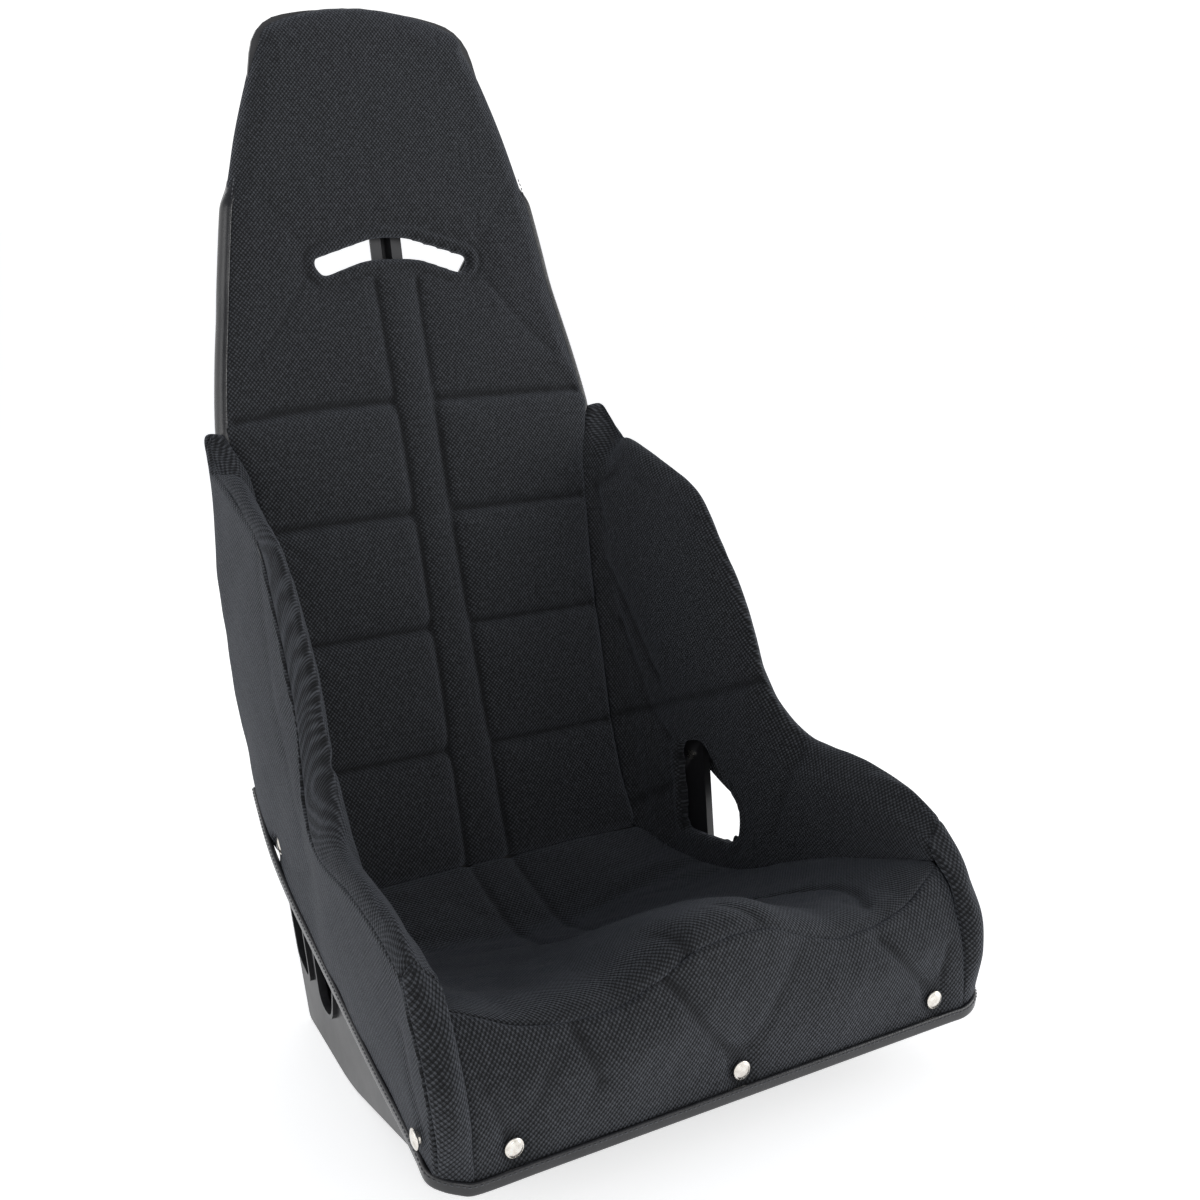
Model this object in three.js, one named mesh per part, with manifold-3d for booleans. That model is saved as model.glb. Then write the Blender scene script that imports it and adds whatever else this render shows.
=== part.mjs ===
// Racing bucket seat: a folded aluminium shell under a snap-on padded fabric cover.
// Millimetres, +Z up. The driver faces -Y, so the seat's left-hand side is at +X.
// The seat stands on the two flanges folded in along the bottom of its side panels, at Z = 0.

import * as THREE from 'three';
import * as BufferGeometryUtils from 'three/addons/utils/BufferGeometryUtils.js';
import Module from 'manifold-3d';

const wasm = await Module();
wasm.setup();

// ---------------------------------------------------------------- driving dimensions
const SHEET = 3;                  // aluminium sheet
const GAP = 0.3;                  // clearance between touching pieces

const HALF_WIDTH = 194.6;         // side panel's outer face at Y = 0, Z = 0
const FLARE = 0.135;              // the side panels spread forward by this much per mm
const LEAN = 0.062;               // and outward with height

const BACK_FOOT = 63.6;           // Y of the back panel's front face, carried down to Z = 0
const BACK_TILT = THREE.MathUtils.degToRad(17.1);
const HEAD_TILT = THREE.MathUtils.degToRad(12);
const BEND_HEIGHT = 600;          // the back panel is bent here, just under the shoulder slot
const HEAD_TOP = 846;

const FRONT = -288;               // outer face of the front wall
const FRONT_BOTTOM = 54;          // lower edge of the front wall
const FLAT_END = -56;             // the side panels' lower edge rises forward of this
const PAN_HEIGHT = 40;            // top of the pan under the hips
const PAN_RAMP_START = -40;
const NOSE_TOP = new THREE.Vector2(-248, 136);
const BASE_FLANGE = 24;           // width of the folded-in bottom flange

const SIDE_CUSHION = 14;          // padding inside the side panels
const FLAP = 12;                  // padding outside the side panels
const APRON = 6;                  // padding on the front wall
const BACK_CUSHION = 12;          // padding on the back panel
const EDGE_ROLL = 9;              // how far the cover stands above the side panels' edge
const POCKET_WALL = 5;            // wall of the pocket that slips over the head
const BINDING_RADIUS = 4;

const SNAP_RADIUS = 7.5;
const STUD_RADIUS = 4.5;
const STUD_HEAD = 1.8;
const RIVET_HEAD = 4;
const RIVET_SHANK = 2;
const RIVET_TAIL = 1.6;

// ---------------------------------------------------------------- materials
function finish(name, color, roughness, metalness) {
  return new THREE.MeshStandardMaterial({ name, color, roughness, metalness });
}

const SHELL_BLACK = finish('shell_black', 0x1b1c1e, 0.42, 0.35);
const COVER_CLOTH = finish('cover_cloth', 0x1d1f22, 0.95, 0);
const BINDING_VINYL = finish('binding_vinyl', 0x141416, 0.4, 0);
const SNAP_NICKEL = finish('snap_nickel', 0xd8d2c6, 0.25, 1);

const seat = new THREE.Group();

function addPart(name, geometry, material) {
  const mesh = new THREE.Mesh(geometry, material);
  mesh.name = name;
  seat.add(mesh);
  return mesh;
}

// ---------------------------------------------------------------- solids
function toManifold(geometry) {
  const plain = geometry.clone();
  plain.deleteAttribute('normal');
  plain.deleteAttribute('uv');
  const merged = BufferGeometryUtils.mergeVertices(plain, 1e-4);
  const vertProperties = new Float32Array(merged.attributes.position.array);
  const triVerts = new Uint32Array(merged.index.array);
  return new wasm.Manifold(new wasm.Mesh({ numProp: 3, vertProperties, triVerts }));
}

function fromManifold(solid) {
  const mesh = solid.getMesh();
  const geometry = new THREE.BufferGeometry();
  geometry.setAttribute('position', new THREE.BufferAttribute(mesh.vertProperties, 3));
  geometry.setIndex(new THREE.BufferAttribute(mesh.triVerts, 1));
  geometry.computeVertexNormals();
  return geometry;
}

function join(first, ...others) {
  const start = toManifold(first);
  return fromManifold(others.reduce((sum, other) => sum.add(toManifold(other)), start));
}

function cut(body, ...tools) {
  const start = toManifold(body);
  return fromManifold(tools.reduce((rest, tool) => rest.subtract(toManifold(tool)), start));
}

// Moves every vertex of a solid by a function; a mirrored result has its faces turned over.
function bend(geometry, place, mirrored = false) {
  const moved = geometry.index ? geometry.toNonIndexed() : geometry.clone();
  moved.deleteAttribute('normal');
  moved.deleteAttribute('uv');
  const position = moved.attributes.position;
  const point = new THREE.Vector3();
  for (let i = 0; i < position.count; i += 1) {
    point.fromBufferAttribute(position, i);
    const target = place(point.x, point.y, point.z);
    position.setXYZ(i, target.x, target.y, target.z);
  }
  const merged = BufferGeometryUtils.mergeVertices(moved, 1e-4);
  if (mirrored) {
    const index = merged.index;
    for (let i = 0; i < index.count; i += 3) {
      const second = index.getX(i + 1);
      index.setX(i + 1, index.getX(i + 2));
      index.setX(i + 2, second);
    }
  }
  merged.computeVertexNormals();
  return merged;
}

// An outline from [u, v, corner length] points; each corner is rounded over its length, or over
// half of the shorter edge beside it.
function rounded(points, PathClass = THREE.Shape) {
  const path = new PathClass();
  points.forEach(([u, v, corner = 0], i) => {
    const here = new THREE.Vector2(u, v);
    const before = new THREE.Vector2(...points[(i + points.length - 1) % points.length]);
    const after = new THREE.Vector2(...points[(i + 1) % points.length]);
    const toBefore = before.sub(here);
    const toAfter = after.sub(here);
    const reach = Math.min(corner, toBefore.length() * 0.49, toAfter.length() * 0.49);
    const enter = toBefore.setLength(reach).add(here);
    const leave = toAfter.setLength(reach).add(here);
    if (i === 0) {
      path.moveTo(enter.x, enter.y);
    } else {
      path.lineTo(enter.x, enter.y);
    }
    if (corner > 0) {
      path.quadraticCurveTo(here.x, here.y, leave.x, leave.y);
    }
  });
  path.closePath();
  return path;
}

// The same outline with every edge moved outward by a distance (inward when negative).
function grown(points, distance) {
  const turn = Math.sign(THREE.ShapeUtils.area(points.map(([u, v]) => new THREE.Vector2(u, v))));
  return points.map(([u, v, corner = 0], i) => {
    const here = new THREE.Vector2(u, v);
    const before = new THREE.Vector2(...points[(i + points.length - 1) % points.length]);
    const after = new THREE.Vector2(...points[(i + 1) % points.length]);
    const first = here.clone().sub(before).normalize();
    const second = after.clone().sub(here).normalize();
    const outFirst = new THREE.Vector2(first.y, -first.x).multiplyScalar(turn);
    const outSecond = new THREE.Vector2(second.y, -second.x).multiplyScalar(turn);
    const mitre = outFirst.add(outSecond);
    const shift = mitre.multiplyScalar((2 * distance) / mitre.lengthSq());
    return [u + shift.x, v + shift.y, corner];
  });
}

// A flat slab of an outline, from depth low to depth high, before it is bent into place.
function slab(points, low, high, holes = [], curveSegments = 5) {
  const area = THREE.ShapeUtils.area(points.map(([u, v]) => new THREE.Vector2(u, v)));
  const shape = rounded(area > 0 ? points : [...points].reverse());
  shape.holes = holes.map((hole) => rounded(hole, THREE.Path));
  const geometry = new THREE.ExtrudeGeometry(shape, {
    depth: high - low,
    bevelEnabled: false,
    curveSegments,
  });
  return geometry.translate(0, 0, low);
}

// A closed solid through rings of points, each ring with the same number of points.
function loft(rings) {
  const count = rings[0].length;
  const positions = rings.flat().flatMap((point) => [point.x, point.y, point.z]);
  const index = [];
  for (let ring = 0; ring < rings.length - 1; ring += 1) {
    for (let i = 0; i < count; i += 1) {
      const next = (i + 1) % count;
      const a = ring * count + i;
      const b = ring * count + next;
      index.push(a, b, b + count, a, b + count, a + count);
    }
  }
  const capPoints = (ring) => {
    const centre = ring.reduce((sum, p) => sum.add(p), new THREE.Vector3()).divideScalar(count);
    positions.push(centre.x, centre.y, centre.z);
    return positions.length / 3 - 1;
  };
  const first = capPoints(rings[0]);
  const last = capPoints(rings.at(-1));
  const base = (rings.length - 1) * count;
  for (let i = 0; i < count; i += 1) {
    const next = (i + 1) % count;
    index.push(first, next, i);
    index.push(last, base + i, base + next);
  }
  const geometry = new THREE.BufferGeometry();
  geometry.setAttribute('position', new THREE.Float32BufferAttribute(positions, 3));
  geometry.setIndex(index);
  return facingOut(geometry);
}

function facingOut(geometry) {
  const position = geometry.attributes.position;
  const index = geometry.index;
  const corner = [new THREE.Vector3(), new THREE.Vector3(), new THREE.Vector3()];
  let volume = 0;
  for (let i = 0; i < index.count; i += 3) {
    corner.forEach((point, k) => point.fromBufferAttribute(position, index.getX(i + k)));
    volume += corner[0].dot(corner[1].cross(corner[2]));
  }
  return volume > 0 ? geometry : bend(geometry, (x, y, z) => new THREE.Vector3(x, y, z), true);
}

// ---------------------------------------------------------------- the shell's surfaces
// Side wall: depth is measured outward from the side panel's outer face.
function wallX(y, z, depth = 0) {
  return HALF_WIDTH - FLARE * y + LEAN * z + depth;
}

function onWall(side) {
  return (y, z, depth) => new THREE.Vector3(side * wallX(y, z, depth), y, z);
}

// Back: s runs up the panel's front face from Z = 0, and depth forward of that face.
const BEND_S = BEND_HEIGHT / Math.cos(BACK_TILT);
const HEAD_S = BEND_S + (HEAD_TOP - BEND_HEIGHT) / Math.cos(HEAD_TILT);

function onBack(x, s, depth) {
  const lower = Math.min(s, BEND_S);
  const upper = Math.max(s - BEND_S, 0);
  const tilt = s < BEND_S ? BACK_TILT : HEAD_TILT;
  const facing = Math.abs(s - BEND_S) < 0.01 ? (BACK_TILT + HEAD_TILT) / 2 : tilt;
  const y = BACK_FOOT + lower * Math.sin(BACK_TILT) + upper * Math.sin(HEAD_TILT);
  const z = lower * Math.cos(BACK_TILT) + upper * Math.cos(HEAD_TILT);
  return new THREE.Vector3(x, y - depth * Math.cos(facing), z + depth * Math.sin(facing));
}

function backS(z) {
  if (z <= BEND_HEIGHT) {
    return z / Math.cos(BACK_TILT);
  }
  return BEND_S + (z - BEND_HEIGHT) / Math.cos(HEAD_TILT);
}

function backY(z, depth = 0) {
  return BACK_FOOT + z * Math.tan(BACK_TILT) - depth / Math.cos(BACK_TILT);
}

// A slab on the back: the part under the bend and the part over it are bent apart and joined.
function backSlab(points, low, high, holes = []) {
  const whole = slab(points, low, high, holes);
  const reach = 2000;
  const half = (from, to) => [[-reach, from], [reach, from], [reach, to], [-reach, to]];
  const under = toManifold(slab(half(-reach, BEND_S), low - 1, high + 1));
  const over = toManifold(slab(half(BEND_S, reach), low - 1, high + 1));
  const solid = toManifold(whole);
  const parts = [solid.intersect(under), solid.intersect(over)];
  const bent = parts.filter((part) => !part.isEmpty()).map((part) => bend(fromManifold(part), onBack));
  return bent.length === 1 ? bent[0] : join(...bent);
}

// ---------------------------------------------------------------- outlines
// Side panel, [Y, Z, corner]: lower edge, front, leg side, then the rib wing up to the back.
const WALL_FOOT = backY(0, -SHEET);
const SIDE_OUTLINE = [
  [WALL_FOOT, 0, 6],
  [FLAT_END, 0, 30],
  [FRONT, FRONT_BOTTOM, 6],
  [FRONT, 170, 70],
  [-150, 200, 60],
  [-58, 200, 50],
  [60, 424, 34],
  [142, 428, 40],
  [backY(480, -SHEET), 480, 2],
];

// Lap-belt holes in the side panel: a slot and, behind a bar, a smaller hole.
const BELT_SLOT = [
  [30, 200, 14],
  [3, 46, 14],
  [-30, 46, 16],
  [-52, 120, 20],
  [-50, 155, 20],
];
const REAR_BELT_HOLE = [
  [56, 150, 10],
  [34, 52, 10],
  [64, 60, 10],
  [88, 138, 10],
];
const BELT_RIM = 3;               // flare round each belt hole
const BELT_RIM_HEIGHT = 4;

// The opening in the side cushion, smaller than the slot and partly over the bar.
const CUSHION_BELT_HOLE = [
  [44, 184, 10],
  [33, 106, 10],
  [-37, 110, 14],
  [-42, 142, 16],
  [14, 194, 14],
];

// Back panel's half width up its height, [Z, half width].
const SHOULDER_HEIGHT = 462;
const HEAD_EDGE = [
  [540, 172],
  [590, 162],
  [690, 143],
  [770, 118],
];
const HEAD_CORNER = 104;          // half width at the top, before its corners are rounded

function backHalfWidth(z) {
  return wallX(backY(z, -SHEET), z, -SHEET - GAP);
}

function backOutline(foot) {
  const right = [
    [backHalfWidth(foot), backS(foot), 0],
    [backHalfWidth(SHOULDER_HEIGHT), backS(SHOULDER_HEIGHT), 20],
    ...HEAD_EDGE.map(([z, half]) => [half, backS(z), 15]),
    [HEAD_CORNER, HEAD_S - 12, 32],
    [46, HEAD_S, 20],
  ];
  const left = right.map(([x, s, corner]) => [-x, s, corner]).reverse();
  return [...right, ...left];
}

// Shoulder-belt slot: one wide chevron, higher in the middle.
const SLOT_HALF_LENGTH = 78;
const SLOT_END_HEIGHT = 622;
const SLOT_PEAK_HEIGHT = 636;
const SLOT_OPENING = 19;

function slotOutline(margin) {
  const endTop = backS(SLOT_END_HEIGHT) + SLOT_OPENING / 2;
  const endBottom = backS(SLOT_END_HEIGHT) - SLOT_OPENING / 2 + 2;
  const peak = backS(SLOT_PEAK_HEIGHT);
  const plain = [
    [SLOT_HALF_LENGTH, endTop, 5],
    [14, peak + SLOT_OPENING / 2, 6],
    [-14, peak + SLOT_OPENING / 2, 6],
    [-SLOT_HALF_LENGTH, endTop, 5],
    [12 - SLOT_HALF_LENGTH, endBottom, 6],
    [-24, peak - SLOT_OPENING / 2, 6],
    [24, peak - SLOT_OPENING / 2, 6],
    [SLOT_HALF_LENGTH - 12, endBottom, 6],
  ];
  return grown(plain, margin);
}

// ---------------------------------------------------------------- shell
const snaps = [
  { name: 'front_left', on: 'front', x: 190, z: 70 },
  { name: 'front_center', on: 'front', x: 0, z: 68 },
  { name: 'front_right', on: 'front', x: -190, z: 70 },
  { name: 'side_front_left', on: 'side', side: 1, y: -272, z: 84 },
  { name: 'side_front_right', on: 'side', side: -1, y: -272, z: 84 },
  { name: 'side_rear_left', on: 'side', side: 1, y: 42, z: 172 },
  { name: 'side_rear_right', on: 'side', side: -1, y: 42, z: 172 },
];

// Puts a piece turned about its own +Z onto the shell, with +Z pointing out of it.
function atSnap(snap, geometry, depth) {
  const matrix = new THREE.Matrix4();
  if (snap.on === 'front') {
    matrix.makeRotationX(Math.PI / 2).setPosition(snap.x, FRONT - depth, snap.z);
  } else {
    const out = new THREE.Vector3(1, FLARE, -LEAN).normalize();
    out.x *= snap.side;
    const turn = new THREE.Quaternion().setFromUnitVectors(new THREE.Vector3(0, 0, 1), out);
    const place = new THREE.Vector3(snap.side * wallX(snap.y, snap.z), snap.y, snap.z);
    matrix.compose(place.addScaledVector(out, depth), turn, new THREE.Vector3(1, 1, 1));
  }
  return geometry.clone().applyMatrix4(matrix);
}

function turned(profile, segments = 16) {
  const points = profile.map(([radius, height]) => new THREE.Vector2(radius, height));
  return bend(new THREE.LatheGeometry(points, segments), (x, y, z) => new THREE.Vector3(x, -z, y));
}

function rod(radius, from, to, segments = 16) {
  return turned([[0, from], [radius, from], [radius, to], [0, to]], segments);
}

// The stud's shank passes through the sheet, with a head behind it and a knob in the padding.
const STUD_SHANK = 2.5;

function studHole(snap) {
  return atSnap(snap, rod(STUD_SHANK + GAP, -SHEET - 5, 5, 12), 0);
}

function paddingHole(snap, thickness) {
  return atSnap(snap, rod(STUD_RADIUS + GAP, -5, thickness + 5, 16), 0);
}

function sidePanel(side) {
  const mirrored = side < 0;
  const place = onWall(side);
  const sheet = bend(slab(SIDE_OUTLINE, -SHEET, 0, [BELT_SLOT, REAR_BELT_HOLE]), place, mirrored);
  const rims = [BELT_SLOT, REAR_BELT_HOLE].map((hole) => (
    bend(slab(grown(hole, BELT_RIM), -SHEET, BELT_RIM_HEIGHT, [hole]), place, mirrored)));
  const flangeOutline = [
    [WALL_FOOT - 4, 0],
    [FLAT_END + 4, 0],
    [FLAT_END + 4, SHEET],
    [WALL_FOOT - 4, SHEET],
  ];
  const flange = bend(slab(flangeOutline, -BASE_FLANGE, -SHEET / 2), place, mirrored);
  const solid = join(sheet, ...rims, flange);
  const own = snaps.filter((snap) => snap.side === side);
  return cut(solid, ...own.map(studHole));
}

// Seat pan, [Y, Z] of its upper face from the back to the nose and down the front wall.
function panProfile() {
  const noseRadius = 20;
  const wallFace = FRONT + SHEET;
  const rear = new THREE.Vector2(backY(PAN_HEIGHT - SHEET, GAP), PAN_HEIGHT);
  const rampStart = new THREE.Vector2(PAN_RAMP_START, PAN_HEIGHT);
  const outer = [rear, rampStart, NOSE_TOP.clone()];
  const noseEnd = new THREE.Vector2(FRONT, NOSE_TOP.y - noseRadius * 1.3);
  const nose = new THREE.QuadraticBezierCurve(NOSE_TOP, new THREE.Vector2(FRONT, NOSE_TOP.y + 14), noseEnd);
  outer.push(...nose.getPoints(6).slice(1));
  outer.push(new THREE.Vector2(FRONT, FRONT_BOTTOM));
  const inner = outer.map((point, i) => {
    const before = outer[Math.max(i - 1, 0)];
    const after = outer[Math.min(i + 1, outer.length - 1)];
    const along = after.clone().sub(before).normalize();
    return point.clone().addScaledVector(new THREE.Vector2(-along.y, along.x), SHEET);
  });
  inner[inner.length - 1] = new THREE.Vector2(wallFace, FRONT_BOTTOM);
  return [...outer, ...inner.reverse()].map((point) => [point.x, point.y]);
}

function seatPan() {
  const profile = slab(panProfile(), -1, 1);
  const pan = bend(profile, (y, z, share) => (
    new THREE.Vector3(share * wallX(y, z, -SHEET - GAP), y, z)));
  const own = snaps.filter((snap) => snap.on === 'front');
  return cut(facingOut(pan), ...own.map(studHole));
}

// Spine brace: a top-hat section with its two flanges against the back of the panel.
const BRACE_FLANGE = 10.5;
const BRACE_CHANNEL = 10;
const BRACE_DEPTH = 14;
const BRACE_SHEET = 2;
const BRACE_FOOT = 62;
const BRACE_TOP = 790;
const RIVET_LEVELS = [95, 250, 405, 560, 690, 765];

function braceRing(s) {
  const inner = BRACE_CHANNEL / 2;
  const edge = inner + BRACE_FLANGE;
  const face = -SHEET - GAP;
  const flangeBack = face - BRACE_SHEET;
  const half = [
    [edge, face],
    [inner, face],
    [inner - 1, face - BRACE_DEPTH + BRACE_SHEET],
  ];
  const outside = [
    [inner - 1 + BRACE_SHEET, face - BRACE_DEPTH],
    [inner + BRACE_SHEET, flangeBack],
    [edge, flangeBack],
  ];
  const mirror = (points) => points.map(([x, depth]) => [-x, depth]).reverse();
  const ring = [...half, ...mirror(half), ...mirror(outside), ...outside];
  return ring.map(([x, depth]) => [x, depth, s]);
}

function spineBrace() {
  const outline = braceRing(0).map(([x, depth]) => new THREE.Vector2(x, depth));
  const levels = [backS(BRACE_FOOT), BEND_S, backS(BRACE_TOP)];
  const section = new THREE.Shape(outline);
  const prisms = [0, 1].map((i) => {
    const length = levels[i + 1] - levels[i];
    const prism = new THREE.ExtrudeGeometry(section, { depth: length, bevelEnabled: false });
    return facingOut(bend(prism, (x, depth, s) => onBack(x, s + levels[i], depth)));
  });
  const holes = rivetPlaces().map(({ x, s }) => rivetHole(x, s));
  return cut(join(...prisms), ...holes);
}

// Rivets hold the brace's flanges to the back panel.
function rivetPlaces() {
  const x = BRACE_CHANNEL / 2 + BRACE_FLANGE * 0.6;
  return RIVET_LEVELS.flatMap((z, level) => (
    [-x, x].map((place) => ({ x: place, s: backS(z), level: level + 1 }))));
}

function atBack(geometry, x, s) {
  const out = onBack(x, s, -1).sub(onBack(x, s, 0)).normalize();
  const turn = new THREE.Quaternion().setFromUnitVectors(new THREE.Vector3(0, 0, 1), out);
  const matrix = new THREE.Matrix4().compose(onBack(x, s, 0), turn, new THREE.Vector3(1, 1, 1));
  return geometry.clone().applyMatrix4(matrix);
}

function rivetHole(x, s) {
  return atBack(rod(RIVET_SHANK + GAP, -5, SHEET + BRACE_SHEET + 5, 10), x, s);
}

function rivet(x, s) {
  const stack = SHEET + GAP + BRACE_SHEET;
  const profile = [
    [0, -RIVET_TAIL],
    [RIVET_HEAD * 0.7, -RIVET_TAIL],
    [RIVET_HEAD * 0.7, -GAP],
    [RIVET_SHANK, -GAP],
    [RIVET_SHANK, stack + GAP],
    [RIVET_HEAD, stack + GAP],
    [RIVET_HEAD * 0.8, stack + 1.6],
    [0, stack + 2.4],
  ];
  return atBack(turned(profile, 10), x, s);
}

function backPanel() {
  const outline = backOutline(PAN_HEIGHT - SHEET);
  const sheet = backSlab(outline, -SHEET, 0, [slotOutline(4)]);
  return cut(sheet, ...rivetPlaces().map(({ x, s }) => rivetHole(x, s)));
}

// ---------------------------------------------------------------- cover
// Snap studs and caps.
function snapStud(snap, padding) {
  const profile = [
    [0, -SHEET - STUD_HEAD],
    [STUD_RADIUS, -SHEET - STUD_HEAD],
    [STUD_RADIUS, -SHEET - GAP],
    [STUD_SHANK, -SHEET - GAP],
    [STUD_SHANK, GAP],
    [STUD_RADIUS, GAP],
    [STUD_RADIUS, padding],
    [0, padding],
  ];
  return atSnap(snap, turned(profile, 12), 0);
}

function snapCap(snap, padding) {
  const profile = [
    [0, padding + GAP],
    [SNAP_RADIUS - 0.4, padding + GAP],
    [SNAP_RADIUS, padding + 1.0],
    [SNAP_RADIUS * 0.86, padding + 2.3],
    [SNAP_RADIUS * 0.5, padding + 3.2],
    [0, padding + 3.5],
  ];
  return atSnap(snap, turned(profile, 20), 0);
}

// Padding on the inside of each side panel, from the seat's front to the back cushion.
const ROLL_OUTLINE = [
  [142, 428 + EDGE_ROLL, 40],
  [54, 424 + EDGE_ROLL, 38],
  [-62, 200 + EDGE_ROLL, 46],
  [-150, 200 + EDGE_ROLL, 60],
];

function sideCushionOutline() {
  const low = 62;
  const rear = (z) => backY(z, BACK_CUSHION + 2 * GAP);
  return [
    [rear(low), low, 8],
    [PAN_RAMP_START + 4, low, 30],
    [NOSE_TOP.x, NOSE_TOP.y + 16, 4],
    [FRONT + 9, NOSE_TOP.y + 14, 2],
    [FRONT + 26, 172, 10],
    [FRONT + 54, 196, 20],
    ...[...ROLL_OUTLINE].reverse(),
    [rear(484), 484, 3],
  ];
}

function sideCushion(side) {
  const outer = -SHEET - STUD_HEAD - 2 * GAP;
  const inner = -SHEET - SIDE_CUSHION;
  const body = slab(sideCushionOutline(), inner, outer, [CUSHION_BELT_HOLE]);
  return bend(body, onWall(side), side < 0);
}

// Padding outside each side panel: its lower edge runs up and back, clear of the belt holes.
const FLAP_LOW = [
  [FRONT, FRONT_BOTTOM + 2, 4],
  [-75, 112, 60],
  [12, 144, 30],
  [backY(196, -SHEET) - 6, 192, 14],
];

function flapOutline() {
  return [
    ...FLAP_LOW,
    [backY(470, -SHEET) - 6, 470, 10],
    ...ROLL_OUTLINE,
    [FRONT, 170 + EDGE_ROLL, 62],
  ];
}

function outerFlap(side) {
  const mirrored = side < 0;
  const whole = slab(flapOutline(), GAP - SHEET, FLAP);
  const room = slab(grown(SIDE_OUTLINE, 0.6), -SHEET - 1, GAP);
  const rimRoom = [BELT_SLOT, REAR_BELT_HOLE].map((hole) => (
    slab(grown(hole, BELT_RIM + 1), -SHEET - 1, BELT_RIM_HEIGHT + 2 * GAP)));
  const solid = cut(whole, room, ...rimRoom);
  const own = snaps.filter((snap) => snap.side === side);
  return cut(bend(solid, onWall(side), mirrored), ...own.map((snap) => paddingHole(snap, FLAP)));
}

// Seat cushion: hollow under the hips, rising to a crowned nose between two leg valleys.
const seatCentre = new THREE.SplineCurve([
  new THREE.Vector2(82, 98),
  new THREE.Vector2(40, 83),
  new THREE.Vector2(-5, 69),
  new THREE.Vector2(-40, 75),
  new THREE.Vector2(-90, 91),
  new THREE.Vector2(-140, 115),
  new THREE.Vector2(-200, 147),
  new THREE.Vector2(-246, 172),
  new THREE.Vector2(-270, 181),
  new THREE.Vector2(-286.5, 174),
]);
const SIDE_RISE = 17;             // the hip hollow's edges above its middle
const VALLEY_DEPTH = 32;          // leg valleys below the nose's crown
const VALLEY_X = 108;

function seatTop(share, step) {
  const centre = seatCentre.getPoint(step);
  const half = wallX(centre.x, centre.y, -SHEET - SIDE_CUSHION - 3 * GAP);
  const x = share * half;
  const forward = THREE.MathUtils.smoothstep(-centre.x, 60, 270);
  const rise = SIDE_RISE * Math.abs(share) ** 3 * (1 - 0.7 * forward);
  const valley = VALLEY_DEPTH * forward * Math.exp(-(((Math.abs(x) - VALLEY_X) / 52) ** 2));
  return new THREE.Vector3(x, centre.x, centre.y + rise - valley);
}

function panTop(y) {
  if (y >= PAN_RAMP_START) {
    return PAN_HEIGHT;
  }
  const slope = (NOSE_TOP.y - PAN_HEIGHT) / (PAN_RAMP_START - NOSE_TOP.x);
  return Math.min(PAN_HEIGHT + (PAN_RAMP_START - y) * slope, NOSE_TOP.y + 4);
}

function seatCushion() {
  const steps = 16;
  const across = 14;
  const rings = [];
  for (let i = 0; i <= steps; i += 1) {
    const top = [];
    const bottom = [];
    for (let k = 0; k <= across; k += 1) {
      const share = (k / across) * 2 - 1;
      const point = seatTop(share, i / steps);
      top.push(point);
      const under = panTop(point.y) + 4 * GAP;
      const rear = Math.min(point.y, backY(under, 2 * GAP));
      const half = wallX(rear, under, -SHEET - SIDE_CUSHION - 3 * GAP);
      bottom.push(new THREE.Vector3(share * half, rear, under));
    }
    rings.push([...top, ...bottom.reverse()]);
  }
  return loft(rings);
}

// Front apron: the padding on the front wall, up to the nose's crown.
function noseHeight(x) {
  const valley = VALLEY_DEPTH * Math.exp(-(((Math.abs(x) - VALLEY_X) / 52) ** 2));
  return 178 - valley;
}

const CORNER_X = 219;             // the apron meets the corner pieces here

function frontApron() {
  const steps = 24;
  const top = [];
  for (let i = 0; i <= steps; i += 1) {
    const x = CORNER_X - (i / steps) * 2 * CORNER_X;
    top.push([x, noseHeight(x) - 5]);
  }
  const outline = [[-CORNER_X, FRONT_BOTTOM - 2], [CORNER_X, FRONT_BOTTOM - 2], ...top];
  const face = slab(outline, 0, APRON);
  const apron = bend(face, (x, z, depth) => new THREE.Vector3(x, FRONT - GAP - depth, z));
  const own = snaps.filter((snap) => snap.on === 'front');
  return cut(facingOut(apron), ...own.map((snap) => paddingHole(snap, APRON)));
}

// The end of each side wall, between the apron and the flap.
function frontCorner(side) {
  const outer = (z) => wallX(FRONT, z, FLAP - 4);
  const inner = CORNER_X + GAP;
  const outline = [
    [inner, FRONT_BOTTOM - 2, 2],
    [outer(54), FRONT_BOTTOM - 2, 14],
    [outer(130), 130, 20],
    [outer(168) - 8, 168, 14],
    [inner, 162, 6],
  ];
  const face = slab(outline, 0, APRON);
  return facingOut(bend(face, (x, z, depth) => new THREE.Vector3(side * x, FRONT - GAP - depth, z)));
}

// Back and head cushion: one padded panel in front of the back panel.
const POCKET_FOOT = 690;

function coverOutline(foot, edge) {
  const half = (z) => wallX(backY(z), z, -SHEET - SIDE_CUSHION - 3 * GAP);
  const inset = 2 * BINDING_RADIUS + 2;
  const right = [
    [half(foot), backS(foot), 6],
    [half(SHOULDER_HEIGHT), backS(SHOULDER_HEIGHT + 14), 8],
    [backHalfWidth(490) - 2 * inset, backS(502), 10],
    ...HEAD_EDGE.slice(0, 2).map(([z, width]) => [width - inset, backS(z), 15]),
    [HEAD_EDGE[2][1] - inset, backS(POCKET_FOOT - 6), 3],
    ...HEAD_EDGE.slice(2).map(([z, width]) => [width + edge, backS(z), 3]),
    [HEAD_CORNER + edge, HEAD_S - 12 + edge / 2, 34],
    [46, HEAD_S + edge, 24],
  ];
  return [...right, ...right.map(([x, s, corner]) => [-x, s, corner]).reverse()];
}

function backCushion() {
  const outline = coverOutline(100, POCKET_WALL);
  return backSlab(outline, RIVET_TAIL + 2 * GAP, BACK_CUSHION, [slotOutline(0)]);
}

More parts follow.
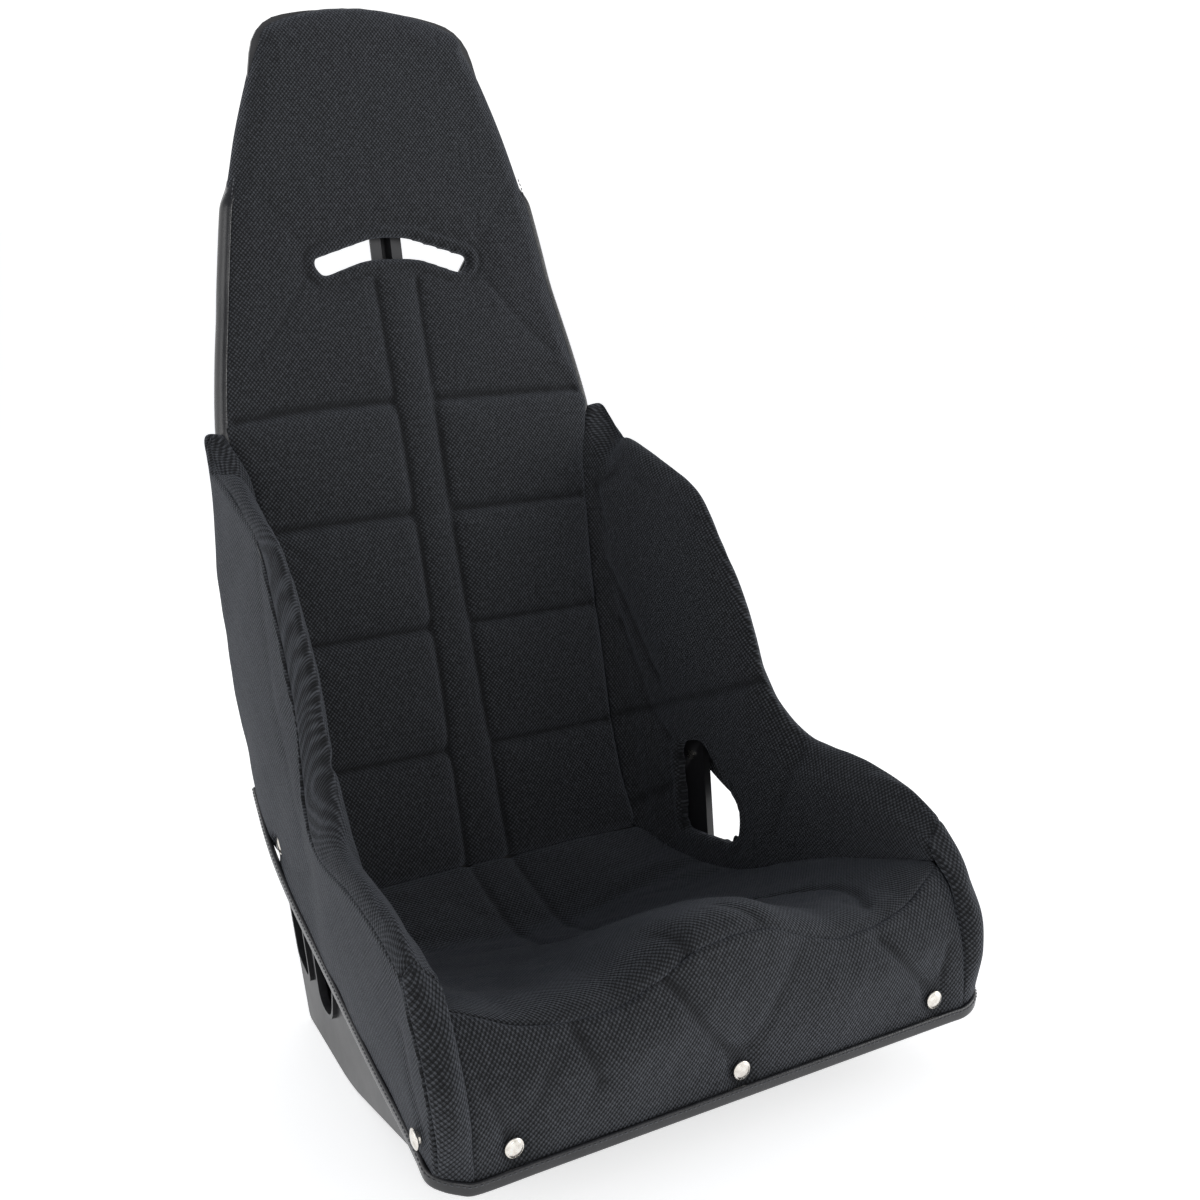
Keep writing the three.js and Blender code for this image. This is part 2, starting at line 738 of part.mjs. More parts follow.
// Pocket: slips over the head from above, behind and round the back panel's edge.
function headPocket() {
  const edge = POCKET_WALL;
  const right = [
    ...HEAD_EDGE.slice(2).map(([z, width]) => [width + edge, backS(z), 4]),
    [HEAD_CORNER + edge, HEAD_S - 12 + edge / 2, 34],
    [46, HEAD_S + edge, 24],
  ];
  const outline = [...right, ...right.map(([x, s, corner]) => [-x, s, corner]).reverse()];
  const block = backSlab(outline, -SHEET - GAP - POCKET_WALL, 0);
  const room = backSlab(grown(backOutline(PAN_HEIGHT), 0.6), -SHEET - GAP, 1);
  const braceRoom = backSlab(
    [[-18, 0], [18, 0], [18, backS(BRACE_TOP) + 3], [-18, backS(BRACE_TOP) + 3]],
    -SHEET - BRACE_DEPTH - 8,
    1,
  );
  return cut(block, room, braceRoom);
}

// ---------------------------------------------------------------- bindings
// A round cord of binding along a path, with its rings square to the path.
function bindingCord(points, radius, sides = 8) {
  const rings = points.map((point, i) => {
    const before = points[Math.max(i - 1, 0)];
    const after = points[Math.min(i + 1, points.length - 1)];
    const along = after.clone().sub(before).normalize();
    const first = new THREE.Vector3(0.05, 0.1, 1).cross(along).normalize();
    const second = along.clone().cross(first);
    return Array.from({ length: sides }, (_, k) => {
      const angle = (k / sides) * 2 * Math.PI;
      return point.clone()
        .addScaledVector(first, Math.cos(angle) * radius)
        .addScaledVector(second, Math.sin(angle) * radius);
    });
  });
  return loft(rings);
}

// Hem: along one flap's lower edge, round the front corner, along the front and back again.
const HEM_RADIUS = 4.5;
const HEM_END = 70;

function hemBinding() {
  const reach = HEM_RADIUS + 2 * GAP;
  const standOff = (y) => reach + BELT_RIM_HEIGHT * THREE.MathUtils.smoothstep(y, -200, -20);
  const beside = rounded(grown(flapOutline(), HEM_RADIUS + 1)).getPoints(5);
  const end = beside.findIndex((p) => p.x > HEM_END);
  const run = beside
    .filter((p, i) => i < end && p.x > FRONT + 24)
    .map((p) => new THREE.Vector3(wallX(p.x, p.y, standOff(p.x)), p.x, p.y));
  const low = FRONT_BOTTOM - 2 - HEM_RADIUS - GAP;
  const cornerX = wallX(FRONT, FRONT_BOTTOM);
  const turn = [0, 0.25, 0.5, 0.75, 1].map((part) => {
    const angle = part * Math.PI / 2;
    return new THREE.Vector3(cornerX + reach * Math.cos(angle), FRONT - reach * Math.sin(angle), low);
  });
  const left = [...run.reverse(), ...turn];
  const right = left.map((p) => new THREE.Vector3(-p.x, p.y, p.z)).reverse();
  return bindingCord([...left, ...right], HEM_RADIUS);
}

// Shoulder: along the cushion's edge from the pocket down to the wing.
function shoulderBinding(side) {
  const edge = [[POCKET_FOOT - 12, 145], [590, 161], [540, 171], [512, 180]];
  const curve = new THREE.SplineCurve(edge.map(([z, half]) => new THREE.Vector2(half, backS(z))));
  const radius = BINDING_RADIUS;
  const points = curve.getPoints(10).map((p) => onBack(side * (p.x - radius), p.y, GAP + radius));
  return bindingCord(points, radius);
}

// ---------------------------------------------------------------- assembly
const SIDES = [['left', 1], ['right', -1]];

addPart('back_panel', backPanel(), SHELL_BLACK);
addPart('seat_pan', seatPan(), SHELL_BLACK);
addPart('spine_brace', spineBrace(), SHELL_BLACK);
rivetPlaces().forEach(({ x, s, level }) => {
  addPart(`brace_rivet_${level}_${x > 0 ? 'left' : 'right'}`, rivet(x, s), SHELL_BLACK);
});

addPart('back_cushion', backCushion(), COVER_CLOTH);
addPart('head_pocket', headPocket(), COVER_CLOTH);
addPart('seat_cushion', seatCushion(), COVER_CLOTH);
addPart('front_apron', frontApron(), COVER_CLOTH);
addPart('hem_binding', hemBinding(), BINDING_VINYL);

SIDES.forEach(([name, side]) => {
  addPart(`side_panel_${name}`, sidePanel(side), SHELL_BLACK);
  addPart(`side_cushion_${name}`, sideCushion(side), COVER_CLOTH);
  addPart(`outer_flap_${name}`, outerFlap(side), COVER_CLOTH);
  addPart(`front_corner_${name}`, frontCorner(side), COVER_CLOTH);
  addPart(`shoulder_binding_${name}`, shoulderBinding(side), BINDING_VINYL);
});

snaps.forEach((snap) => {
  const padding = snap.on === 'front' ? APRON + GAP : FLAP;
  addPart(`snap_stud_${snap.name}`, snapStud(snap, padding), SNAP_NICKEL);
  addPart(`snap_cap_${snap.name}`, snapCap(snap, padding), SNAP_NICKEL);
});

// The origin is the middle of the whole seat's footprint, on the floor.
const extent = new THREE.Box3().setFromObject(seat);
seat.position.y = -(extent.min.y + extent.max.y) / 2;
seat.updateMatrixWorld(true);

export default seat;
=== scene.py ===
"""Racing bucket seat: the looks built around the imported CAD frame.

The surfaces are laid out in millimetres in the seat's design frame: +X to the driver's left,
+Y rearward, +Z up, with Y = 0 near the hips. row() turns them into metres in the row frame.
"""

import math

import bpy
import numpy as np
from mathutils import Matrix, Vector


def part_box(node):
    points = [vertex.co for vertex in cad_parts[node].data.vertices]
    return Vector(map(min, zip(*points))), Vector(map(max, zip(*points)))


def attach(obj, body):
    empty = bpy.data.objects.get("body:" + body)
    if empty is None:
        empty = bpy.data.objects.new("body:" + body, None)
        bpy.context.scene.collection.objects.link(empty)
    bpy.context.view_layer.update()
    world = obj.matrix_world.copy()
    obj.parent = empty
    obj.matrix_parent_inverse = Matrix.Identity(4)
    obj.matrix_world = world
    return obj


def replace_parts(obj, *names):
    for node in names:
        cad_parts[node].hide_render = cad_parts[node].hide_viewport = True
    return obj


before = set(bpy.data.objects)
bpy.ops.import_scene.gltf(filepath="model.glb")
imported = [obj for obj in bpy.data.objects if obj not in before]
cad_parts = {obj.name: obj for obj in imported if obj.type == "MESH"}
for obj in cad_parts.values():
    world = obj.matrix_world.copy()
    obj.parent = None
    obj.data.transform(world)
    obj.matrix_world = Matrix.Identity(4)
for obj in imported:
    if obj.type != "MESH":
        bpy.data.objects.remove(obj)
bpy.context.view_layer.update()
SCENE = bpy.context.scene

# ------------------------------------------------------------------ driving dimensions, mm
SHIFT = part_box("side_panel_left")[0][1] * 1000 + 288.0
HALF_WIDTH, FLARE, LEAN = 194.6, 0.135, 0.062
BACK_FOOT = 63.6
TILT = math.radians(17.1)
HEAD_TILT = math.radians(12.0)
BEND_S = 600.0 / math.cos(TILT)
BACK_PAD = 12.0
SIDE_PAD = 17.0


def row(points):
    moved = np.asarray(points, float).copy()
    moved[..., 1] += SHIFT
    return moved / 1000.0


def wall_x(y, z, depth=0.0):
    return HALF_WIDTH - FLARE * y + LEAN * z + depth


def smooth(a, b, value):
    t = np.clip((np.asarray(value, float) - a) / (b - a), 0, 1)
    return t * t * (3 - 2 * t)


def table(pairs, value):
    """Smooth interpolation through [position, value] pairs (monotone cubic)."""
    xs, ys = np.array(pairs, float).T
    slope = np.diff(ys) / np.diff(xs)
    tangent = np.zeros(len(xs))
    tangent[0], tangent[-1] = slope[0], slope[-1]
    same = slope[:-1] * slope[1:] > 0
    inner = np.where(same, 2 * slope[:-1] * slope[1:] / np.where(same, slope[:-1] + slope[1:], 1), 0)
    tangent[1:-1] = inner
    value = np.clip(np.asarray(value, float), xs[0], xs[-1])
    k = np.clip(np.searchsorted(xs, value, side="right") - 1, 0, len(xs) - 2)
    step = xs[k + 1] - xs[k]
    t = (value - xs[k]) / step
    h00, h10 = 2 * t**3 - 3 * t**2 + 1, t**3 - 2 * t**2 + t
    h01, h11 = -2 * t**3 + 3 * t**2, t**3 - t**2
    return h00 * ys[k] + h10 * step * tangent[k] + h01 * ys[k + 1] + h11 * step * tangent[k + 1]


def catmull(keys, t):
    """Points on a smooth curve through keys (k, ...), at t from 0 to k - 1."""
    keys = np.asarray(keys, float)
    t = np.clip(np.asarray(t, float), 0, len(keys) - 1 - 1e-9)
    i = t.astype(int)
    f = (t - i).reshape((-1,) + (1,) * (keys.ndim - 1))
    padded = np.concatenate([2 * keys[:1] - keys[1:2], keys, 2 * keys[-1:] - keys[-2:-1]])
    a, b, c, d = padded[i], padded[i + 1], padded[i + 2], padded[i + 3]
    return 0.5 * (2 * b + (c - a) * f + (2 * a - 5 * b + 4 * c - d) * f**2 + (3 * b - a - 3 * c + d) * f**3)


def arc_length(path):
    """How far along a path each of its points lies."""
    return np.concatenate([[0], np.cumsum(np.linalg.norm(np.diff(path, axis=0), axis=1))])


def even(keys, count):
    """count points at equal distances along the smooth curve through keys."""
    fine = catmull(keys, np.linspace(0, len(keys) - 1, 60 * len(keys)))
    length = arc_length(fine)
    at = np.linspace(0, length[-1], count)
    return np.stack([np.interp(at, length, fine[:, k]) for k in range(fine.shape[1])], 1)


# ------------------------------------------------------------------ sculpting fields
def bell(value, width):
    return np.exp(-(value / width) ** 2)


def mound(u, width_u, v, width_v):
    return np.exp(-((u / width_u) ** 2 + (v / width_v) ** 2))


def round_over(away, reach):
    """The drop of a quarter-round edge as a share: 1 at the edge, 0 from reach inward."""
    return 1 - np.sqrt(np.clip(1 - (1 - np.clip(away / reach, 0, 1)) ** 2, 0, 1))


def segment_distance(p, line, closed=False):
    line = np.asarray(line, float)
    ends = np.roll(line, -1, axis=0) if closed else line[1:]
    starts = line if closed else line[:-1]
    best = np.full(p.shape[:-1], 1e9)
    for a, b in zip(starts, ends):
        ab = b - a
        t = np.clip(((p - a) @ ab) / max(ab @ ab, 1e-9), 0, 1)
        best = np.minimum(best, np.linalg.norm(p - (a + t[..., None] * ab), axis=-1))
    return best


def groove(p, keys, depth, width):
    """A sewn line or fold along a smooth curve: a sharp core in a wider dip."""
    line = even(keys, 24) if len(keys) > 2 else np.asarray(keys, float)
    d = segment_distance(p, line)
    return -depth * (0.65 * bell(d, width) + 0.35 * bell(d, 3.2 * width))


def creased(relief, p, folds, sign=1):
    """A relief with folds pressed into it, each (keys, depth, width); sign -1 mirrors them."""
    for keys, depth, width in folds:
        relief = relief + groove(p, [(sign * u, v) for u, v in keys], depth, width)
    return relief


def outside(p, outline):
    """Signed distance to a closed outline, positive outside it."""
    d = segment_distance(p, outline, closed=True)
    inside = np.zeros(p.shape[:-1], bool)
    nxt = np.roll(outline, -1, axis=0)
    for (x0, y0), (x1, y1) in zip(outline, nxt):
        crosses = (y0 > p[..., 1]) != (y1 > p[..., 1])
        at = x0 + (p[..., 1] - y0) * (x1 - x0) / (y1 - y0 if y1 != y0 else 1e-9)
        inside ^= crosses & (p[..., 0] < at)
    return np.where(inside, -d, d)


def rounded(corners, steps=5):
    """A closed outline from [u, v, corner length] points with rounded corners."""
    points = []
    count = len(corners)
    for i in range(count):
        here = np.array(corners[i][:2], float)
        before = np.array(corners[i - 1][:2], float) - here
        after = np.array(corners[(i + 1) % count][:2], float) - here
        reach = min(corners[i][2], 0.49 * np.linalg.norm(before), 0.49 * np.linalg.norm(after))
        a = here + before / np.linalg.norm(before) * reach
        b = here + after / np.linalg.norm(after) * reach
        for t in np.linspace(0, 1, steps):
            points.append((1 - t) ** 2 * a + 2 * t * (1 - t) * here + t**2 * b)
    return np.array(points)


def pull_to(p, outline, reach):
    """The move that brings the points near an outline onto it, and each point's distance to it."""
    e = 0.05
    f = outside(p, outline)
    gx = (outside(p + [e, 0], outline) - outside(p - [e, 0], outline)) / (2 * e)
    gy = (outside(p + [0, e], outline) - outside(p - [0, e], outline)) / (2 * e)
    move = np.where(np.abs(f) < reach, -f, 0.0)
    return np.stack([move * gx, move * gy], -1), f


def noise(p, scale, seed):
    """Smooth, repeatable unevenness from a few crossed waves, about -1 to 1."""
    rng = np.random.default_rng(seed)
    total = np.zeros(p.shape[:-1])
    for _ in range(7):
        direction = rng.normal(size=2)
        direction /= np.linalg.norm(direction)
        wave = rng.uniform(0.6, 1.5) * 2 * math.pi / scale
        total += np.sin(p @ direction * wave + rng.uniform(0, 2 * math.pi))
    return total / 4.0


def uneven(p, *waves):
    """Unevenness of several (height, size, seed) noises together."""
    return sum(height * noise(p, size, seed) for height, size, seed in waves)


# ------------------------------------------------------------------ meshes
def new_object(name, verts, faces, uv=None):
    mesh = bpy.data.meshes.new(name)
    mesh.from_pydata([tuple(v) for v in verts], [], [tuple(f) for f in faces])
    if uv is not None:
        layer = mesh.uv_layers.new(name="cloth")
        index = np.empty(len(mesh.loops), int)
        mesh.loops.foreach_get("vertex_index", index)
        layer.data.foreach_set("uv", np.asarray(uv, float)[index].ravel())
    mesh.polygons.foreach_set("use_smooth", [True] * len(mesh.polygons))
    mesh.update()
    obj = bpy.data.objects.new(name, mesh)
    SCENE.collection.objects.link(obj)
    return obj


def grid_normals(surface, flip):
    du = np.gradient(surface, axis=0)
    dv = np.gradient(surface, axis=1)
    normal = np.cross(du, dv)
    normal = normal / np.maximum(np.linalg.norm(normal, axis=-1, keepdims=True), 1e-6)
    return -normal if flip else normal


def finish_piece(obj, material, subdivided=False):
    """Gives a piece its material and body, and rounds its mesh where asked."""
    if subdivided:
        sub = obj.modifiers.new("smooth", "SUBSURF")
        sub.levels = sub.render_levels = 1
    obj.data.materials.append(material)
    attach(obj, "root")
    return obj


SETTLE_FRAMES = 14


def settle(obj, held, pressure, cap):
    """Blows the pad up a little as cloth between its held seams, then applies the result."""
    before = np.empty(len(obj.data.vertices) * 3)
    obj.data.vertices.foreach_get("co", before)
    group = obj.vertex_groups.new(name="held")
    for weight in np.unique(np.round(held, 1)):
        group.add(np.nonzero(np.round(held, 1) == weight)[0].tolist(), float(weight), "REPLACE")
    cloth = obj.modifiers.new("cloth", "CLOTH")
    settings = cloth.settings
    settings.vertex_group_mass = "held"
    settings.use_pressure = True
    settings.uniform_pressure_force = pressure
    settings.effector_weights.gravity = 0
    settings.quality = 4
    settings.mass = 0.3
    settings.tension_stiffness = 12
    settings.compression_stiffness = 12
    settings.shear_stiffness = 4
    settings.bending_stiffness = 0.6
    cloth.collision_settings.use_collision = False
    cloth.point_cache.frame_start = 1
    cloth.point_cache.frame_end = SETTLE_FRAMES
    for step in range(1, SETTLE_FRAMES + 1):
        SCENE.frame_set(step)
    graph = bpy.context.evaluated_depsgraph_get()
    result = obj.evaluated_get(graph)
    after = np.empty(len(before))
    result.data.vertices.foreach_get("co", after)
    obj.modifiers.remove(cloth)
    obj.vertex_groups.remove(group)
    SCENE.frame_set(1)
    move = (after - before).reshape(-1, 3)
    size = np.linalg.norm(move, axis=1, keepdims=True)
    move *= np.minimum(1, cap / 1000.0 / np.maximum(size, 1e-9)) * np.isfinite(size)
    obj.data.vertices.foreach_set("co", (before.reshape(-1, 3) + np.nan_to_num(move)).ravel())
    obj.data.update()


# How many grid steps away a crease is compared with the cloth round it, for the shade painted into creases.
CREASE_REACH = 3


def pad(name, surface, relief, thick, uv, flip=False, keep=None, tight=None, pressure=0.0, cap=0.0):
    """A closed padded panel of cloth: an outer grid with its relief over an inner grid.

    flip turns it inside out, keep says which cells are there, tight which points are sewn down.
    With a pressure it is settled as cloth, and no point moves further than cap.
    """
    n, m = surface.shape[:2]
    normal = grid_normals(surface, flip)
    outer = surface + normal * relief[..., None]
    inner = surface - normal * np.broadcast_to(np.asarray(thick, float), (n, m))[..., None]
    ids = np.arange(n * m).reshape(n, m)
    cells = np.ones((n - 1, m - 1), bool) if keep is None else keep
    a, b = ids[:-1, :-1][cells], ids[1:, :-1][cells]
    c, d = ids[1:, 1:][cells], ids[:-1, 1:][cells]
    quads = np.stack([a, d, c, b] if flip else [a, b, c, d], 1)
    under = quads[:, ::-1] + n * m
    edges = np.concatenate([quads[:, [k, (k + 1) % 4]] for k in range(4)])
    seen = dict.fromkeys(map(tuple, edges.tolist()))
    rim = np.array([(p, q) for p, q in seen if (q, p) not in seen])
    walls = np.stack([rim[:, 1], rim[:, 0], rim[:, 0] + n * m, rim[:, 1] + n * m], 1)
    faces = np.concatenate([quads, under, walls])
    verts = np.concatenate([outer.reshape(-1, 3), inner.reshape(-1, 3)])
    both_uv = np.concatenate([uv.reshape(-1, 2), uv.reshape(-1, 2)]) / 1000.0
    used = np.unique(faces)
    renumber = np.full(len(verts), -1)
    renumber[used] = np.arange(len(used))
    obj = new_object(name, row(verts[used]), renumber[faces], both_uv[used])
    # Painted shade: how far each point lies below the cloth round it, kept as the crease attribute that
    # darkens the cloth's colour there.
    r = CREASE_REACH
    around = np.pad(relief, r, mode="edge")
    steps = ((0, r), (2 * r, r), (r, 0), (r, 2 * r))
    nearby = sum(around[i:i + n, j:j + m] for i, j in steps) / 4
    crease = np.clip((nearby - relief - 0.25) / 1.3, 0, 1).ravel()
    marked = obj.data.attributes.new("crease", "FLOAT", "POINT")
    marked.data.foreach_set("value", np.concatenate([crease, crease])[used])
    if pressure:
        hold = np.ones((n, m)) if tight is None else tight
        on_rim = np.zeros(n * m)
        on_rim[rim.ravel()] = 1
        held = np.concatenate([np.maximum(hold.ravel(), on_rim), np.ones(n * m)])[used]
        settle(obj, np.clip(held, 0, 1), pressure, cap)
    return finish_piece(obj, CLOTH, subdivided=True)


def sweep(name, path, profile, normals, material):
    """A strip of the given cross-section along a path; profile is (across, out) in mm."""
    path = np.asarray(path, float)
    tangent = np.gradient(path, axis=0)
    tangent /= np.linalg.norm(tangent, axis=1, keepdims=True)
    out = np.asarray(normals, float)
    out = out - (out * tangent).sum(1, keepdims=True) * tangent
    out /= np.linalg.norm(out, axis=1, keepdims=True)
    across = np.cross(tangent, out)
    rings = path[:, None] + across[:, None] * profile[None, :, :1] + out[:, None] * profile[None, :, 1:]
    n, k = rings.shape[:2]
    faces = []
    for i in range(n - 1):
        for j in range(k):
            q = (j + 1) % k
            faces.append((i * k + j, i * k + q, (i + 1) * k + q, (i + 1) * k + j))
    faces.append(tuple(range(k))[::-1])
    faces.append(tuple((n - 1) * k + j for j in range(k)))
    along, around = np.meshgrid(arc_length(path), np.linspace(0, 20, k), indexing="ij")
    uv = np.column_stack([along.ravel(), around.ravel()]) / 1000
    obj = new_object(name, row(rings.reshape(-1, 3)), faces, uv)
    return finish_piece(obj, material, subdivided=True)


STITCH_PITCH, STITCH_LENGTH, STITCH_RADIUS, STITCH_SIDES = 4.2, 2.9, 0.45, 6
# A stitch's shape: place along its length, thickness and lift, as shares of length and radius.
STITCH_STATIONS = [(-0.5, 0.25, -0.5), (-0.36, 0.9, 0.1), (0, 1.0, 0.35), (0.36, 0.9, 0.1), (0.5, 0.25, -0.5)]


def stitches(name, path, normals):
    """A row of thread dashes lying on a surface along a path."""
    path = np.asarray(path, float)
    normals = np.asarray(normals, float)
    run = arc_length(path)

    def at(d, values):
        return np.array([np.interp(d, run, values[:, k]) for k in range(3)])

    verts, faces = [], []
    for start in np.arange(STITCH_PITCH / 2, run[-1] - STITCH_PITCH / 2, STITCH_PITCH):
        base = len(verts)
        for share, size, lift in STITCH_STATIONS:
            d = np.clip(start + share * STITCH_LENGTH, 0, run[-1])
            tangent = at(min(d + 0.5, run[-1]), path) - at(max(d - 0.5, 0), path)
            tangent /= np.linalg.norm(tangent)
            out = at(d, normals)
            out = out - (out @ tangent) * tangent
            out /= np.linalg.norm(out)
            side = np.cross(tangent, out)
            centre = at(d, path) + out * lift * STITCH_RADIUS
            radius = size * STITCH_RADIUS
            for q in range(STITCH_SIDES):
                angle = 2 * math.pi * q / STITCH_SIDES
                verts.append(centre + out * radius * math.sin(angle) + side * radius * math.cos(angle))
        for low in range(base, len(verts) - STITCH_SIDES, STITCH_SIDES):
            high = low + STITCH_SIDES
            for q in range(STITCH_SIDES):
                r = (q + 1) % STITCH_SIDES
                faces.append((low + q, low + r, high + r, high + q))
        faces.append(tuple(range(base, base + STITCH_SIDES))[::-1])
        faces.append(tuple(range(len(verts) - STITCH_SIDES, len(verts))))
    return finish_piece(new_object(name, row(np.array(verts)), faces), THREAD)


# ------------------------------------------------------------------ materials
def new_material(name):
    made = bpy.data.materials.new(name)
    made.use_nodes = True
    return made, made.node_tree, made.node_tree.nodes["Principled BSDF"]


def wire(tree, node, inputs):
    """Sets a node's sockets to plain values or links them to other nodes' outputs."""
    for socket, value in inputs.items():
        if isinstance(value, bpy.types.NodeSocket):
            tree.links.new(value, node.inputs[socket])
        else:
            node.inputs[socket].default_value = value


def add_node(tree, kind, inputs, **settings):
    node = tree.nodes.new(kind)
    for setting, value in settings.items():
        setattr(node, setting, value)
    wire(tree, node, inputs)
    return node


def math_node(tree, operation, first, second=None):
    inputs = {0: first} if second is None else {0: first, 1: second}
    return add_node(tree, "ShaderNodeMath", inputs, operation=operation).outputs[0]


def noise_node(tree, vector, scale, detail=3.0, rough=0.55):
    inputs = {"Vector": vector, "Scale": scale, "Detail": detail, "Roughness": rough}
    return add_node(tree, "ShaderNodeTexNoise", inputs).outputs["Fac"]


def ramp_node(tree, value, stops):
    node = add_node(tree, "ShaderNodeValToRGB", {"Fac": value})
    ends = node.color_ramp.elements
    for element, (place, color) in zip((ends[0], ends[1]), (stops[0], stops[-1])):
        element.position = place
        element.color = (*color, 1)
    for place, color in stops[1:-1]:
        ends.new(place).color = (*color, 1)
    return node.outputs["Color"]


def spread_node(tree, value, low, high):
    """A value from 0 to 1 spread over low to high."""
    inputs = {"Value": value, "To Min": low, "To Max": high}
    return add_node(tree, "ShaderNodeMapRange", inputs).outputs["Result"]


def mix_node(tree, share, first, second):
    inputs = {"Factor": share, "A": first, "B": second}
    return add_node(tree, "ShaderNodeMix", inputs, data_type="RGBA").outputs["Result"]


def bump_node(tree, height, strength, distance):
    inputs = {"Height": height, "Strength": strength, "Distance": distance}
    return add_node(tree, "ShaderNodeBump", inputs).outputs["Normal"]


def object_place(tree):
    return tree.nodes.new("ShaderNodeTexCoord").outputs["Object"]


WEAVE_PITCH = (0.0018, 0.0020)
WEAVE_DARK = (0.0006, 0.0007, 0.0010)
WEAVE_LIGHT = (0.0560, 0.0600, 0.0680)
# Colour of the shade painted into seams and folds.
CREASE_SHADE_COLOR = (0.0012, 0.0013, 0.0016, 1)


def tweed(name):
    """Coarse basket weave: pale thread crowns on a lattice, with shade painted darker into seams and folds.
    """
    made, tree, shader = new_material(name)
    uv = tree.nodes.new("ShaderNodeUVMap").outputs["UV"]
    wobble = add_node(tree, "ShaderNodeTexNoise", {"Vector": uv, "Scale": 90.0, "Detail": 2.0})
    shift = {0: wobble.outputs["Color"], 1: (0.0008, 0.0008, 0), 2: uv}
    shifted = add_node(tree, "ShaderNodeVectorMath", shift, operation="MULTIPLY_ADD")
    split = add_node(tree, "ShaderNodeSeparateXYZ", {0: shifted.outputs[0]})
    across = math_node(tree, "MULTIPLY", split.outputs[0], math.pi / WEAVE_PITCH[0])
    along = math_node(tree, "MULTIPLY", split.outputs[1], math.pi / WEAVE_PITCH[1])
    crowns = math_node(tree, "MULTIPLY", math_node(tree, "COSINE", across), math_node(tree, "COSINE", along))
    ply_angle = math_node(tree, "MULTIPLY", math_node(tree, "ADD", across, along), 3.0)
    ply = math_node(tree, "MULTIPLY", math_node(tree, "SINE", ply_angle), 0.12)
    fuzz = noise_node(tree, uv, 1500.0, 4.0, 0.7)
    flecks = noise_node(tree, uv, 260.0, 2.0, 0.6)
    height = math_node(tree, "ADD", math_node(tree, "MULTIPLY", crowns, 0.5), ply)
    height = math_node(tree, "ADD", height, math_node(tree, "MULTIPLY", fuzz, 0.45))
    tone = math_node(tree, "ADD", height, math_node(tree, "MULTIPLY", flecks, 0.9))
    tone = math_node(tree, "MULTIPLY", tone, 0.6)
    middle = tuple(0.24 * a + 0.76 * b for a, b in zip(WEAVE_LIGHT, WEAVE_DARK))
    color = ramp_node(tree, tone, [(0.27, WEAVE_DARK), (0.48, middle), (0.68, WEAVE_LIGHT)])
    # Painted shade: the crease attribute darkens the weave in seams and folds.
    crease = add_node(tree, "ShaderNodeAttribute", {}, attribute_name="crease").outputs["Fac"]
    crease_shade = math_node(tree, "MULTIPLY", crease, 0.85)
    wire(tree, shader, {
        "Base Color": mix_node(tree, crease_shade, color, CREASE_SHADE_COLOR),
        "Normal": bump_node(tree, height, 0.9, 0.0011),
        "Roughness": 0.86,
        "Specular IOR Level": 0.32,
        "Sheen Weight": 0.16,
        "Sheen Roughness": 0.45,
        "Sheen Tint": (0.80, 0.86, 1.0, 1),
    })
    return made


def vinyl(name):
    """Glossy black vinyl with a fine pebble grain and worn, slightly duller patches."""
    made, tree, shader = new_material(name)
    place = object_place(tree)
    grain = add_node(tree, "ShaderNodeTexVoronoi", {"Vector": place, "Scale": 900.0}).outputs["Distance"]
    wear = noise_node(tree, place, 60.0, 4.0)
    wire(tree, shader, {
        "Base Color": ramp_node(tree, wear, [(0.3, (0.006, 0.006, 0.007)), (0.75, (0.016, 0.016, 0.018))]),
        "Roughness": spread_node(tree, wear, 0.16, 0.34),
        "Normal": bump_node(tree, grain, 0.35, 0.0003),
        "Specular IOR Level": 0.6,
    })
    return made


def powder_coat(name):
    """Semi-gloss black powder coat: orange peel, faint dust and rubbed edges."""
    made, tree, shader = new_material(name)
    place = object_place(tree)
    peel = noise_node(tree, place, 700.0, 2.0)
    dust = noise_node(tree, place, 14.0, 6.0, 0.7)
    edge = tree.nodes.new("ShaderNodeNewGeometry").outputs["Pointiness"]
    rubbed = add_node(tree, "ShaderNodeMapRange", {"Value": edge, "From Min": 0.53, "From Max": 0.62})
    base = ramp_node(tree, dust, [(0.30, (0.008, 0.008, 0.009)), (0.80, (0.016, 0.016, 0.018))])
    wire(tree, shader, {
        "Base Color": mix_node(tree, rubbed.outputs["Result"], base, (0.045, 0.045, 0.048, 1)),
        "Roughness": spread_node(tree, dust, 0.30, 0.52),
        "Normal": bump_node(tree, peel, 0.25, 0.0002),
    })
    return made


def nickel(name):
    """Polished nickel with faint tarnish and a warm cast."""
    made, tree, shader = new_material(name)
    place = object_place(tree)
    tarnish = noise_node(tree, place, 240.0, 4.0)
    wire(tree, shader, {
        "Base Color": ramp_node(tree, tarnish, [(0.3, (0.60, 0.56, 0.50)), (0.7, (0.86, 0.83, 0.78))]),
        "Roughness": spread_node(tree, noise_node(tree, place, 900.0, 3.0), 0.16, 0.34),
        "Metallic": 1.0,
    })
    return made


def thread(name, color):
    """Twisted sewing thread of one colour, with shade painted darker between its plies."""
    made, tree, shader = new_material(name)
    twist = {"Vector": object_place(tree), "Scale": 900.0, "Distortion": 1.5}
    plies = add_node(tree, "ShaderNodeTexWave", twist).outputs["Fac"]
    # Painted shade between the plies.
    ply_shade_color = tuple(c * 0.6 for c in color)
    wire(tree, shader, {
        "Base Color": ramp_node(tree, plies, [(0.2, ply_shade_color), (0.8, color)]),
        "Roughness": 0.55,
    })
    return made


CLOTH = tweed("cover_tweed")
VINYL = vinyl("binding_vinyl_black")
COAT = powder_coat("shell_powder_coat")
NICKEL = nickel("snap_nickel_polished")
THREAD = thread("binding_thread", (0.075, 0.078, 0.088))

